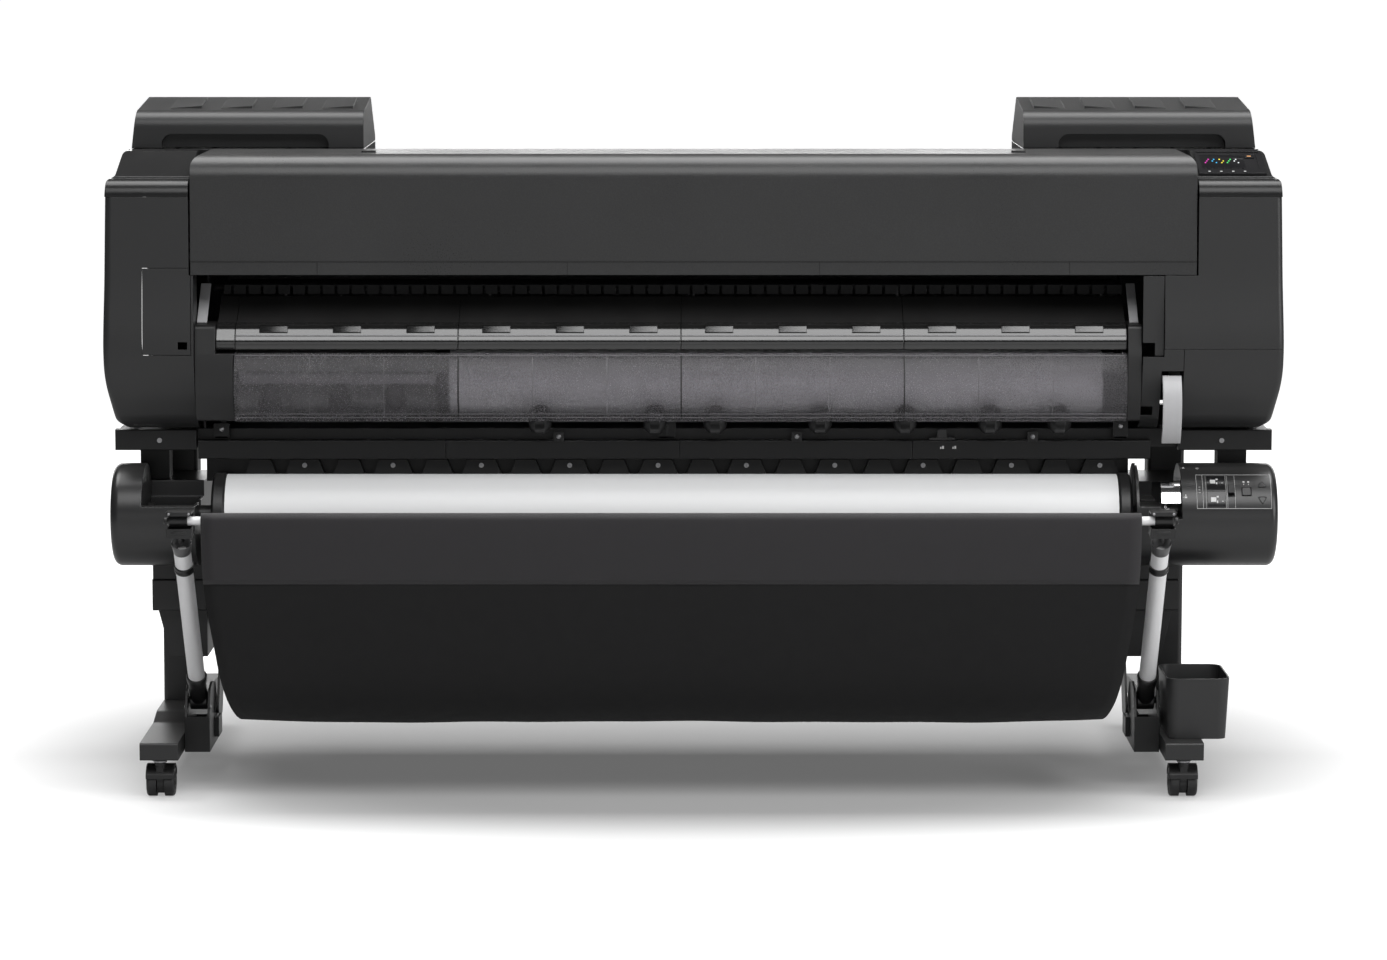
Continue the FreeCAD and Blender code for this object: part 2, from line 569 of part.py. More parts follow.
def paper_roll(left, right, y, z, radius):
    return bar_x(left, right, y, z, radius).cut(bar_x(left - 1, right + 1, y, z, 25.4))


upper_right = PLATEN_RIGHT - 36
upper_left = upper_right - UPPER_PAPER_WIDTH
keep("upper_spool", spool(-811, 740, UPPER_Y, UPPER_Z, SHAFT_R, 60, upper_left, upper_right))
keep("upper_paper_roll", paper_roll(upper_left + 0.2, upper_right - 0.2, UPPER_Y, UPPER_Z,
                                    UPPER_PAPER_R))
keep("lower_spool", spool(-925, 792, ROLL_Y, ROLL_Z, SHAFT_R, 71, PAPER_LEFT, PAPER_RIGHT))
keep("lower_paper_roll", paper_roll(PAPER_LEFT + 0.2, PAPER_RIGHT - 0.2, ROLL_Y, ROLL_Z, PAPER_R))

cartridge = slab("x", [(-170, 640, 6), (-170, 742, 6), (90, 742, 6), (90, 640, 6)], 838, 946)
cartridge = cartridge.fuse(slab("x", [(-169, 668), (-178, 672, 2), (-178, 712, 2), (-169, 716)],
                                862, 922))
keep("maintenance_cartridge", cartridge.removeSplitter())

# ---- front rails under the mouth ----------------------------------------------------------
BEAM_FRONT, BEAM_REAR = -170.0, -147.0
BEAM_LOW, BEAM_HIGH = 570.0, 602.0
STRIP_LOW, STRIP_HIGH = 585.0, 620.5


def rail_box(x0, x1, z0, z1):
    box = slab("x", [(BEAM_REAR, z0), (BEAM_FRONT, z0, 2), (BEAM_FRONT, z1, 2), (BEAM_REAR, z1)],
               x0, x1)
    return box.cut(block(x0 + SHEET, x1 - SHEET, BEAM_FRONT + SHEET, BEAM_REAR + 1,
                         z0 + SHEET, z1 - SHEET))


SELECTOR_X, SELECTOR_TRAVEL = 426.0, 18.6
beam_edges = (-849.0, -424.0, -23.0, 376.0, 784.0)
beams = [rail_box(x0, x1 - GAP, BEAM_LOW, BEAM_HIGH)
         for x0, x1 in zip(beam_edges, beam_edges[1:])]
slot = block(SELECTOR_X - 10, SELECTOR_X + 10 + SELECTOR_TRAVEL, -163, -154, 590, 610)
beams[3] = beams[3].cut(slot)
keep("front_rails", rail_box(-991, -852, STRIP_LOW, STRIP_HIGH),
     rail_box(831, 991, STRIP_LOW, STRIP_HIGH), *beams)

selector = block(SELECTOR_X - 22, SELECTOR_X + 22, -166, -152, BEAM_HIGH + 0.4, BEAM_HIGH + 4)
selector = selector.fuse(slab("y", [(SELECTOR_X - 9, BEAM_HIGH + 3), (SELECTOR_X - 7, 620, 2),
                                    (SELECTOR_X + 7, 620, 2), (SELECTOR_X + 9, BEAM_HIGH + 3)],
                              -164, -157))
selector = selector.fuse(block(SELECTOR_X - 6, SELECTOR_X + 6, -161, -156, 594, BEAM_HIGH + 1))
keep("selector_lever", selector.removeSplitter())

# Paper guide plates hang behind the lower roll, wide ones screwed on and narrow ones sprung.
GUIDE_Z = (540.0, 566.0)
guide_pitch = 76.0
guide_plates = []
screw_spots = [(-915, 602), (905, 602)]
for i in range(20):
    middle = -745 + i * guide_pitch
    half = 34 if i % 2 else 27
    guide_plates.append(slab("y", [(middle - half, GUIDE_Z[0]), (middle - half + 10, GUIDE_Z[1], 3),
                                   (middle + half - 10, GUIDE_Z[1], 3),
                                   (middle + half, GUIDE_Z[0])], -142, -119))
    if i % 2:
        screw_spots.append((middle, 556))
keep("paper_guide_plates", *guide_plates)


def screws():
    heads = []
    for x, z in screw_spots:
        y = BEAM_FRONT if z > 580 else -142.0
        head = Part.makeCylinder(4.2, 2.2, V(x, y, z), V(0, -1, 0))
        cross = block(x - 2.4, x + 2.4, y - 3, y - 1.2, z - 0.5, z + 0.5)
        cross = cross.fuse(block(x - 0.5, x + 0.5, y - 3, y - 1.2, z - 2.4, z + 2.4))
        heads.append(head.cut(cross))
    return heads


keep("screws", *screws())

# ---- lower roll unit ----------------------------------------------------------------------
UNIT_LEFT, UNIT_RIGHT = -992.0, 994.0
CRADLE_LEFT, CRADLE_RIGHT = -847.0, 753.0
UNIT_REAR = 73.0


def housing(outer, inner):
    """A drum with a rounded outer end and a square block behind that bolts to the leg."""
    x0, x1 = sorted((outer, inner))
    drum = bar_x(x0, x1, ROLL_Y, ROLL_Z, ROLL_UNIT_R)
    rim = [e for e in drum.Edges if abs(e.CenterOfMass.x - outer) < 0.1 and e.Length > 100]
    drum = drum.makeFillet(14, rim)
    return drum


def left_roll_housing():
    drum = housing(UNIT_LEFT, CRADLE_LEFT)
    back = block(-975, CRADLE_LEFT, ROLL_Y, UNIT_REAR, 402, UNIT_BACK_TOP)
    body = drum.fuse(back)
    body = body.cut(block(-938, CRADLE_LEFT + 5, ROLL_Y - 95, ROLL_Y + 72, 498, 600))
    body = body.cut(block(-938, CRADLE_LEFT - 4, ROLL_Y - 62, ROLL_Y + 62, 455, 500))
    slot_room = SHAFT_R + 0.6
    body = body.cut(block(-938, CRADLE_LEFT + 5, ROLL_Y - slot_room, ROLL_Y + slot_room,
                          ROLL_Z, 500))
    body = body.cut(bar_x(-938, CRADLE_LEFT + 5, ROLL_Y, ROLL_Z, slot_room))
    return body.removeSplitter()


keep("left_roll_housing", left_roll_housing())

LOCK_X0, LOCK_X1 = 795.5, 828.5
LOCK_R = 82.0


def on_drum(angle):
    """A point on the drum's face and the outward direction there, angle up from the front."""
    out = V(0, -math.cos(math.radians(angle)), math.sin(math.radians(angle)))
    return out * ROLL_UNIT_R + V(0, ROLL_Y, ROLL_Z), out


def radial(corners, angle, depth, rise):
    """A key outline (x, up the face) pushed in through the drum's face at an angle."""
    spot, out = on_drum(angle)
    up = V(0, math.sin(math.radians(angle)), math.cos(math.radians(angle)))
    start = spot - out * depth
    wire = outline(corners, lambda p: start + V(p.x, 0, 0) + up * p.y)
    return Part.Face(wire).extrude(out * (depth + rise))


KEYS = {
    "mode_switch": ([(909, -7.5, 1), (909, 7.5, 1), (919, 7.5, 1), (919, -7.5, 1)], 36.0, 1.8),
    "square_key": ([(933, -7, 2), (933, 7, 2), (947, 7, 2), (947, -7, 2)], 33.0, 0.8),
    "up_key": ([(960, -5, 1), (966.5, 6, 1), (973, -5, 1)], 42.0, 0.8),
    "down_key": ([(960, 5, 1), (966.5, -6, 1), (973, 5, 1)], 22.6, 0.8),
}
KEY_WELL = 7.0


def widened(corners, extra):
    """The same key outline grown about its middle."""
    x = sum(c[0] for c in corners) / len(corners)
    return [(x + (c[0] - x) * extra, c[1] * extra, 1.0) for c in corners]


def right_roll_housing():
    drum = housing(UNIT_RIGHT, CRADLE_RIGHT)
    body = drum.fuse(block(CRADLE_RIGHT, 975, ROLL_Y, UNIT_REAR, 402, UNIT_BACK_TOP))
    body = body.cut(block(CRADLE_RIGHT + 5, LOCK_X0 - 1, ROLL_Y - 95, ROLL_Y + 76, 498, 600))
    slot_room = SHAFT_R + 0.6
    body = body.cut(block(CRADLE_RIGHT - 5, LOCK_X0 - 1, ROLL_Y - slot_room, ROLL_Y + slot_room,
                          ROLL_Z, 600))
    body = body.cut(bar_x(CRADLE_RIGHT - 5, LOCK_X0 - 1, ROLL_Y, ROLL_Z, slot_room))
    lock_bay = bar_x(LOCK_X0 - 1.5, LOCK_X1 + 1.5, ROLL_Y, ROLL_Z, LOCK_R + 8)
    lock_bay = lock_bay.cut(block(700, 900, ROLL_Y - 100, ROLL_Y + 100, 380, ROLL_Z + 2))
    lock_bay = lock_bay.cut(bar_x(700, 900, ROLL_Y, ROLL_Z, 20))
    body = body.cut(lock_bay)
    for corners, angle, rise in KEYS.values():
        grown = widened(corners, 1.16)
        if corners is KEYS["mode_switch"][0]:
            grown = [(908.4, -14, 1), (908.4, 8.5, 1), (919.6, 8.5, 1), (919.6, -14, 1)]
        body = body.cut(radial(grown, angle, KEY_WELL, 6))
    return body.removeSplitter()


keep("right_roll_housing", right_roll_housing())


def lock_lever():
    """A curved grip on two thin webs that turns about the spool's axis."""
    ring = bar_x(LOCK_X0, LOCK_X1, ROLL_Y, ROLL_Z, LOCK_R)
    ring = ring.cut(bar_x(LOCK_X0 - 1, LOCK_X1 + 1, ROLL_Y, ROLL_Z, LOCK_R - 4))
    wedge = slab("x", [(0, 0), (-200, 200 * math.tan(math.radians(20))),
                       (-200, 200 * math.tan(math.radians(48)))], LOCK_X0, LOCK_X1)
    wedge.translate(V(0, ROLL_Y, ROLL_Z))
    web = bar_x(LOCK_X0 + 12, LOCK_X0 + 18, ROLL_Y, ROLL_Z, LOCK_R - 2).common(wedge)
    hub = bar_x(LOCK_X0 + 10, LOCK_X0 + 20, ROLL_Y, ROLL_Z, 28)
    bore = bar_x(LOCK_X0 - 5, LOCK_X1 + 5, ROLL_Y, ROLL_Z, 20.1)
    sector = slab("x", [(0, 0), (-200, 42), (-200, 200), (80, 200)], LOCK_X0, LOCK_X1)
    sector.translate(V(0, ROLL_Y, ROLL_Z))
    return join(ring.common(wedge), web, hub.common(sector)).cut(bore)


keep("lock_lever", lock_lever())
for name, (corners, angle, rise) in KEYS.items():
    keep(name, radial(corners, angle, 3.0, rise))

# ---- stand --------------------------------------------------------------------------------
LEG_FRONT, LEG_REAR = 74.0, 136.0
legs = []
feet = []
leg_covers = []
for side in (-1, 1):
    x = MID_X + side * LEG_OFFSET
    x0, x1 = x - FOOT_WIDTH / 2, x + FOOT_WIDTH / 2
    leg = slab("z", [(x0, LEG_FRONT, 8), (x1, LEG_FRONT, 8), (x1, LEG_REAR, 8),
                     (x0, LEG_REAR, 8)], FOOT_TOP + 12, PAN_BOTTOM - 0.5)
    cap = block(x0 - 8, x1 + 8, LEG_FRONT - 14, LEG_REAR + 60, PAN_BOTTOM - 7, PAN_BOTTOM - 0.5)
    bore = slab("z", [(x0 + SHEET, LEG_FRONT + SHEET, 6), (x1 - SHEET, LEG_FRONT + SHEET, 6),
                      (x1 - SHEET, LEG_REAR - SHEET, 6), (x0 + SHEET, LEG_REAR - SHEET, 6)],
                FOOT_TOP + 10, PAN_BOTTOM - 8)
    legs.append(join(leg, cap).cut(bore))
    foot = slab("x", [(FOOT_FRONT, FOOT_BOTTOM, 3), (FOOT_FRONT, FOOT_TOP, 4),
                      (-96, FOOT_TOP, 60), (-40, FOOT_TOP + 12, 60), (250, FOOT_TOP + 12, 60),
                      (FOOT_REAR, FOOT_TOP, 4), (FOOT_REAR, FOOT_BOTTOM, 3)], x0, x1)
    feet.append(foot.cut(block(x0 + SKIN, x1 - SKIN, -235, 372, FOOT_BOTTOM - 1, FOOT_TOP - 4)))
keep("stand_legs", *legs)
keep("stand_feet", *feet)

for x0, x1, lean in ((-941, -850, 1), (757, 843, -1)):
    upper = block(x0, x1, -70, 73.5, 346, 401.5)
    lower = slab("x", [(-74, 293, 3), (-74, 348, 3), (73.5, 348), (73.5, 293)], x0 - 1, x1 + 1)
    outer, inner = (x0, x1) if lean > 0 else (x1, x0)
    gusset = slab("y", [(outer + lean * 5, 294), (outer + lean * 27, 208), (inner, 208),
                        (inner, 294)], -44, 73.5)
    leg_covers.append(join(upper, lower, gusset))
keep("leg_covers", *leg_covers)

LEG_INNER = LEG_OFFSET - FOOT_WIDTH / 2
crossbar = slab("x", [(86, 250, 4), (86, 410, 4), (122, 410, 4), (122, 250, 4)],
                MID_X - LEG_INNER + 0.3, MID_X + LEG_INNER - 0.3)
crossbar = crossbar.cut(block(-900, 900, 88, 130, 270, 390))
keep("stand_crossbar", crossbar)

# ---- basket -------------------------------------------------------------------------------
REAR_BAR_Y, REAR_BAR_Z = 30.0, 330.0
CLOTH_HALF = 781.0
CLOTH_T = 2.5
BRACKET_HALF = 21.5
CHEEK = [(-200, 66), (-200, 127), (-178, 172, 8), (-140, 180, 10), (-95, 172, 8),
         (-35, 100), (-35, 66)]


def basket_bracket(x, inward):
    """An open-topped steel box with two cheeks for the arm's pin and a strut to the rear bar."""
    x0, x1 = x - BRACKET_HALF, x + BRACKET_HALF
    box = slab("x", CHEEK, x0, x1)
    box = box.cut(block(x0 + 4, x1 - 4, -196, -39, 70, 200))
    box = box.fuse(block(x0, x1, -200, -196, 66, 127))
    box = box.cut(block(x0 + 4, x1 - 4, -300, 0, 127, 200))
    pin = bar_x(x0 + 1, x1 - 1, ARM_PIVOT_Y, ARM_PIVOT_Z, 6)
    side = x1 if inward > 0 else x0
    s0, s1 = sorted((side + inward * 3.5, side + inward * 7.5))
    packer = block(min(s0, side - 1), max(s1, side + 1), -115, -60, 78, 112)
    strut = slab("x", [(-120, 120, 10), (5, 335, 18), (5, 352, 14), (52, 352, 14), (52, 315, 14),
                       (-50, 110, 10)], s0, s1)
    hole = bar_x(s0 - 1, s1 + 1, REAR_BAR_Y, REAR_BAR_Z, BAR_R + 0.05)
    return join(box, pin, packer, strut).cut(hole)


arm_x = (MID_X - ARM_OFFSET, MID_X + ARM_OFFSET)
keep("basket_brackets", basket_bracket(arm_x[0], 1), basket_bracket(arm_x[1], -1))
keep("basket_rear_bar", bar_x(arm_x[0] + BRACKET_HALF + 3.7, arm_x[1] - BRACKET_HALF - 3.7,
                              REAR_BAR_Y, REAR_BAR_Z, BAR_R))


def basket_arm(x, outward):
    """Socket on the pin, two-stage tube with a collar, a hooked cup and the bar's clamp."""
    pivot = V(x, ARM_PIVOT_Y, ARM_PIVOT_Z)
    top = V(x, ARM_TOP_Y, ARM_TOP_Z)
    along = (top - pivot).normalize()
    socket = bar_x(x - 15, x + 15, ARM_PIVOT_Y, ARM_PIVOT_Z, 16)
    sleeve = tube(pivot, pivot + along * 62, 16)
    bore = bar_x(x - 20, x + 20, ARM_PIVOT_Y, ARM_PIVOT_Z, 6.06)
    shaft = tube(pivot + along * 40, top, ARM_R)
    collar = tube(top - along * 52, top - along * 38, 17)
    cup = Part.makeSphere(17, top + along * 4)
    clamp = slab("x", [(-DEPTH / 2, 473, 3), (-DEPTH / 2, 513, 3), (-412, 513, 3), (-408, 473, 3)],
                 x - 20, x + 20)
    neck = tube(top, V(x, -428, 480), 9)
    grip_end = bar_x(x - 20 - (5 if outward < 0 else 0), x + 20 + (5 if outward > 0 else 0),
                     BAR_Y, BAR_Z, 10)
    whole = join(socket, sleeve, shaft, collar, cup, neck, clamp, grip_end)
    inner_end = x - outward * 12
    hole = bar_x(min(inner_end, inner_end - outward * 60), max(inner_end, inner_end - outward * 60),
                 BAR_Y, BAR_Z, BAR_R + 0.05)
    return whole.cut(bore).cut(hole)


keep("basket_arms", basket_arm(arm_x[0], -1), basket_arm(arm_x[1], 1))
keep("basket_bar", bar_x(arm_x[0] + 12.2, arm_x[1] - 12.2, BAR_Y, BAR_Z, BAR_R))

# The cloth hangs from the front bar, dips under the roll and rises to the rear bar.
CLOTH_LINE = [(BAR_Y - 10.5, BAR_Z - 2, 0), (-433, 400, 300), (-392, 215, 160), (-300, 128, 90),
              (-190, 122, 110), (-75, 176, 160), (REAR_BAR_Y - 9.5, REAR_BAR_Z + 2, 0)]


def cloth():
    """A band of even thickness along the hanging line, as one closed solid."""
    def shifted(distance):
        moved = []
        for i, (y, z, r) in enumerate(CLOTH_LINE):
            before = V(*CLOTH_LINE[max(i - 1, 0)][:2], 0)
            after = V(*CLOTH_LINE[min(i + 1, len(CLOTH_LINE) - 1)][:2], 0)
            run = (after - before).normalize()
            moved.append((y + run.y * distance, z - run.x * distance, r))
        return moved
    inside = shifted(-CLOTH_T)
    ring = shifted(0) + [(y, z, r) for y, z, r in reversed(inside)]
    corners = [(y, z, r) if r else (y, z) for y, z, r in ring]
    return slab("x", corners, MID_X - CLOTH_HALF, MID_X + CLOTH_HALF)


keep("basket_cloth", cloth())

# Accessory pocket: a tapered open bucket standing on the right foot.
def rounded_box(x0, x1, y0, y1, z, radius):
    return outline([(x0, y0, radius), (x1, y0, radius), (x1, y1, radius), (x0, y1, radius)],
                   lambda p: V(p.x, p.y, z))


POCKET_LOW, POCKET_HIGH = FOOT_TOP + 0.5, 204.0
pocket = Part.makeLoft([rounded_box(811, 909, -262, -112, POCKET_LOW, 16),
                        rounded_box(806, 915, -268, -102, POCKET_HIGH, 22)], True, True)
hollow = Part.makeLoft([rounded_box(813.5, 906.5, -259.5, -114.5, POCKET_LOW + 3, 14),
                        rounded_box(808.4, 912.6, -265.6, -104.4, POCKET_HIGH + 1, 20)], True, True)
keep("accessory_pocket", pocket.cut(hollow))

# ---- casters ------------------------------------------------------------------------------
def caster(x, y):
    """A swivelling fork with a hooded body, and its two wheels on one axle."""
    axle_y = y + CASTER_TRAIL
    plate = post_z(x, y, FOOT_BOTTOM - 4, FOOT_BOTTOM - 0.2, 17)
    stem = post_z(x, y, 50, FOOT_BOTTOM - 3, 9)
    body = bar_x(x - 6, x + 6, axle_y, CASTER_R, 20)
    body = body.fuse(block(x - 6, x + 6, y - 9, axle_y, 30, 54))
    body = body.cut(bar_x(x - 9, x + 9, axle_y, CASTER_R, 4.05))
    hood = bar_x(x - 24, x + 24, axle_y, CASTER_R, 31)
    hood = hood.cut(bar_x(x - 30, x + 30, axle_y, CASTER_R, 27))
    hood = hood.cut(block(x - 40, x + 40, axle_y - 60, axle_y + 60, -20, CASTER_R + 8))
    hood = hood.common(block(x - 40, x + 40, axle_y - 27, axle_y + 27, 0, 60))
    wheels = bar_x(x - 24, x - 7, axle_y, CASTER_R, CASTER_R)
    wheels = wheels.fuse(bar_x(x + 7, x + 24, axle_y, CASTER_R, CASTER_R))
    rims = [e for e in wheels.Edges if e.Length > 100 and abs(e.CenterOfMass.x - x) > 20]
    wheels = wheels.makeFillet(5, rims).fuse(bar_x(x - 8, x + 8, axle_y, CASTER_R, 4))
    return join(plate, stem, body, hood.fuse(block(x - 6, x + 6, axle_y - 8, axle_y + 8, 44, 54))), wheels


for side, side_name in ((-1, "left"), (1, "right")):
    for y, end_name in ((CASTER_FRONT_Y, "front"), (CASTER_REAR_Y, "rear")):
        fork, wheels = caster(MID_X + side * (LEG_OFFSET + 1.5), y)
        keep(f"{end_name}_{side_name}_caster_fork", fork)
        keep(f"{end_name}_{side_name}_caster_wheels", wheels)

# ---- write --------------------------------------------------------------------------------
os.makedirs("parts", exist_ok=True)
whole = FreeCAD.BoundBox()
for name, solids in parts.items():
    shape = solids[0] if len(solids) == 1 else Part.makeCompound(solids)
    pieces = shape.Solids
    sound = shape.isValid() and all(s.isClosed() for s in pieces)
    print(f"{name:28s} solids {len(pieces):2d} volume {shape.Volume / 1000:9.1f} cm3 "
          f"{'ok' if sound and len(pieces) == len(solids) else 'CHECK'}")
    whole.add(shape.optimalBoundingBox())
    shape.exportStep(f"parts/{name}.step")
print(f"{len(parts)} nodes, box X {whole.XMin:.1f}..{whole.XMax:.1f} "
      f"Y {whole.YMin:.1f}..{whole.YMax:.1f} Z {whole.ZMin:.1f}..{whole.ZMax:.1f}")
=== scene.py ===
"""Large format plotter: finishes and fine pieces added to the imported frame.

Metres, +Z up, the front faces -Y. The frame's pieces keep their places and shapes here.
"""
import math

import bmesh
import bpy
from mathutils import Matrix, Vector


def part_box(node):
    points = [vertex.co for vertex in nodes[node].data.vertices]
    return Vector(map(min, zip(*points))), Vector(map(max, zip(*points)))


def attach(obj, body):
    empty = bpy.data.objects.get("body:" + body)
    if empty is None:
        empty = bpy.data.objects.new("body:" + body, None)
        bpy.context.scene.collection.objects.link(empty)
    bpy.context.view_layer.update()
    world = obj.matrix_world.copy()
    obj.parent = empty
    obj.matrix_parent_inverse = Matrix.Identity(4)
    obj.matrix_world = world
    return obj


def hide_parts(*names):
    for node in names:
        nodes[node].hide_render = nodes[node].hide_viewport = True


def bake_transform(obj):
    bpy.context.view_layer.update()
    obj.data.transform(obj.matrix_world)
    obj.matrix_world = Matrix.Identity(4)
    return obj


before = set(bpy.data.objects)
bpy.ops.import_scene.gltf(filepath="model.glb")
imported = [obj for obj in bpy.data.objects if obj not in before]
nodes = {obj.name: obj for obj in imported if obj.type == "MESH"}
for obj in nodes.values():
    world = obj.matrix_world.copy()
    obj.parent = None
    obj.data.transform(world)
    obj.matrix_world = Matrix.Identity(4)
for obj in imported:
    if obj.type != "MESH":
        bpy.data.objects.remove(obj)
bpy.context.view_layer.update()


# ---- body covers --------------------------------------------------------------------------
# Dark grey ABS mouldings with a fine pebbled texture from the mould: side covers, access door,
# maintenance cover and mouth trims. They clip and screw to the chassis, the door and the
# maintenance cover turn on hinges, and their open edges are rounded by about a millimetre.
def new_group(name, inputs, outputs):
    """An empty shader node group; inputs are name to default, outputs name to socket type."""
    group = bpy.data.node_groups.new(name, "ShaderNodeTree")
    for label, value in inputs.items():
        socket = group.interface.new_socket(label, in_out="INPUT", socket_type="NodeSocketFloat")
        socket.default_value = value
    for label, kind in outputs.items():
        group.interface.new_socket(label, in_out="OUTPUT", socket_type=kind)
    return group, group.nodes.new("NodeGroupInput"), group.nodes.new("NodeGroupOutput")


def wire(tree, start, end):
    """Joins an output socket to an input socket."""
    tree.links.new(start, end)


def set_input(tree, socket, value):
    """Feeds an input from a socket, or sets it to a number."""
    if isinstance(value, bpy.types.NodeSocket):
        wire(tree, value, socket)
    else:
        socket.default_value = value


def maths(tree, operation, a, b=None, clamp=False):
    """A Math node on sockets or numbers; gives its output socket."""
    node = tree.nodes.new("ShaderNodeMath")
    node.operation = operation
    node.use_clamp = clamp
    for socket, value in zip(node.inputs, (a, b)):
        if value is not None:
            set_input(tree, socket, value)
    return node.outputs[0]


def object_place(tree):
    """The object's own coordinates, in metres."""
    return tree.nodes.new("ShaderNodeTexCoord").outputs["Object"]


def noise(tree, place, scale, detail=2.0):
    """Noise over the object's own coordinates; the scale is a number or a socket."""
    node = tree.nodes.new("ShaderNodeTexNoise")
    node.inputs["Detail"].default_value = detail
    wire(tree, place, node.inputs["Vector"])
    set_input(tree, node.inputs["Scale"], scale)
    return node.outputs["Fac"]


def pebbled_grain():
    """Mould grain: round pebbles of a given size, and slow patches of tone."""
    group, given, out = new_group("pebbled_grain", {"Size": 0.0016, "Spread": 0.08},
                                  {"Height": "NodeSocketFloat", "Tone": "NodeSocketFloat"})
    place = object_place(group)
    frequency = maths(group, "DIVIDE", 1.0, given.outputs["Size"])
    pebbles = group.nodes.new("ShaderNodeTexVoronoi")
    pebbles.feature = "SMOOTH_F1"
    wire(group, place, pebbles.inputs["Vector"])
    wire(group, frequency, pebbles.inputs["Scale"])
    fine = noise(group, place, frequency)
    wire(group, maths(group, "ADD", pebbles.outputs["Distance"], fine), out.inputs["Height"])
    offset = maths(group, "SUBTRACT", noise(group, place, 5.0, 3.0), 0.5)
    speckle = maths(group, "MULTIPLY", maths(group, "SUBTRACT", pebbles.outputs["Distance"], 0.4), 0.9)
    spread = maths(group, "MULTIPLY", maths(group, "ADD", offset, speckle), given.outputs["Spread"])
    wire(group, maths(group, "ADD", maths(group, "MULTIPLY", spread, 2.0), 1.0), out.inputs["Tone"])
    return group


def edge_wear_and_highlight():
    """A mask along rounded edges, broken up by noise, for handling wear and a painted highlight on
    them.
    """
    group, given, out = new_group("edge_wear_and_highlight", {"Radius": 0.002, "Amount": 0.6},
                                  {"Mask": "NodeSocketFloat", "Normal": "NodeSocketVector"})
    bevel = group.nodes.new("ShaderNodeBevel")
    bevel.samples = 4
    wire(group, given.outputs["Radius"], bevel.inputs["Radius"])
    flat = group.nodes.new("ShaderNodeNewGeometry")
    closeness = group.nodes.new("ShaderNodeVectorMath")
    closeness.operation = "DOT_PRODUCT"
    wire(group, bevel.outputs["Normal"], closeness.inputs[0])
    wire(group, flat.outputs["Normal"], closeness.inputs[1])
    edge = maths(group, "MULTIPLY", maths(group, "SUBTRACT", 1.0, closeness.outputs["Value"]), 4.0,
                 clamp=True)
    scuffs = noise(group, object_place(group), 90.0, 4.0)
    worn_and_lit = maths(group, "MULTIPLY", edge, maths(group, "ADD", scuffs, 0.2))
    wire(group, maths(group, "MULTIPLY", worn_and_lit, given.outputs["Amount"], clamp=True),
         out.inputs["Mask"])
    wire(group, bevel.outputs["Normal"], out.inputs["Normal"])
    return group


def settled_dust():
    """A thin film of dust on faces that look up, in soft patches."""
    group, given, out = new_group("settled_dust", {"Amount": 0.15}, {"Mask": "NodeSocketFloat"})
    normal = group.nodes.new("ShaderNodeNewGeometry").outputs["Normal"]
    split = group.nodes.new("ShaderNodeSeparateXYZ")
    wire(group, normal, split.inputs[0])
    upward = maths(group, "POWER", maths(group, "MAXIMUM", split.outputs["Z"], 0.0), 3.0)
    drift = noise(group, object_place(group), 11.0, 6.0)
    wire(group, maths(group, "MULTIPLY", maths(group, "MULTIPLY", upward, drift),
                      given.outputs["Amount"], clamp=True), out.inputs["Mask"])
    return group


GRAIN = pebbled_grain()
WORN_AND_LIT_EDGES = edge_wear_and_highlight()
DUST = settled_dust()


def placed(tree, group, **values):
    """A group node with its named inputs set."""
    node = tree.nodes.new("ShaderNodeGroup")
    node.node_tree = group
    for label, value in values.items():
        node.inputs[label].default_value = value
    return node


def tinted(tree, colour, tone):
    """A colour multiplied by a tone that varies over the surface."""
    mix = tree.nodes.new("ShaderNodeVectorMath")
    mix.operation = "SCALE"
    mix.inputs[0].default_value = colour
    wire(tree, tone, mix.inputs["Scale"])
    return mix.outputs[0]


def blended(tree, amount, under, over):
    """under shows where amount is 0, the colour over where it is 1."""
    mix = tree.nodes.new("ShaderNodeMix")
    mix.data_type = "RGBA"
    wire(tree, amount, mix.inputs["Factor"])
    wire(tree, under, mix.inputs["A"])
    mix.inputs["B"].default_value = (*over, 1.0)
    return mix.outputs["Result"]


def new_finish(name):
    """A fresh material with its node tree and its shader."""
    material = bpy.data.materials.new(name)
    material.use_nodes = True
    return material, material.node_tree, material.node_tree.nodes["Principled BSDF"]


def add_relief(tree, shader, height, strength, depth, normal=None):
    """Bump from a height, over a normal where one is given, into the shader."""
    relief = tree.nodes.new("ShaderNodeBump")
    relief.inputs["Strength"].default_value = strength
    relief.inputs["Distance"].default_value = depth
    wire(tree, height, relief.inputs["Height"])
    if normal:
        wire(tree, normal, relief.inputs["Normal"])
    wire(tree, relief.outputs["Normal"], shader.inputs["Normal"])


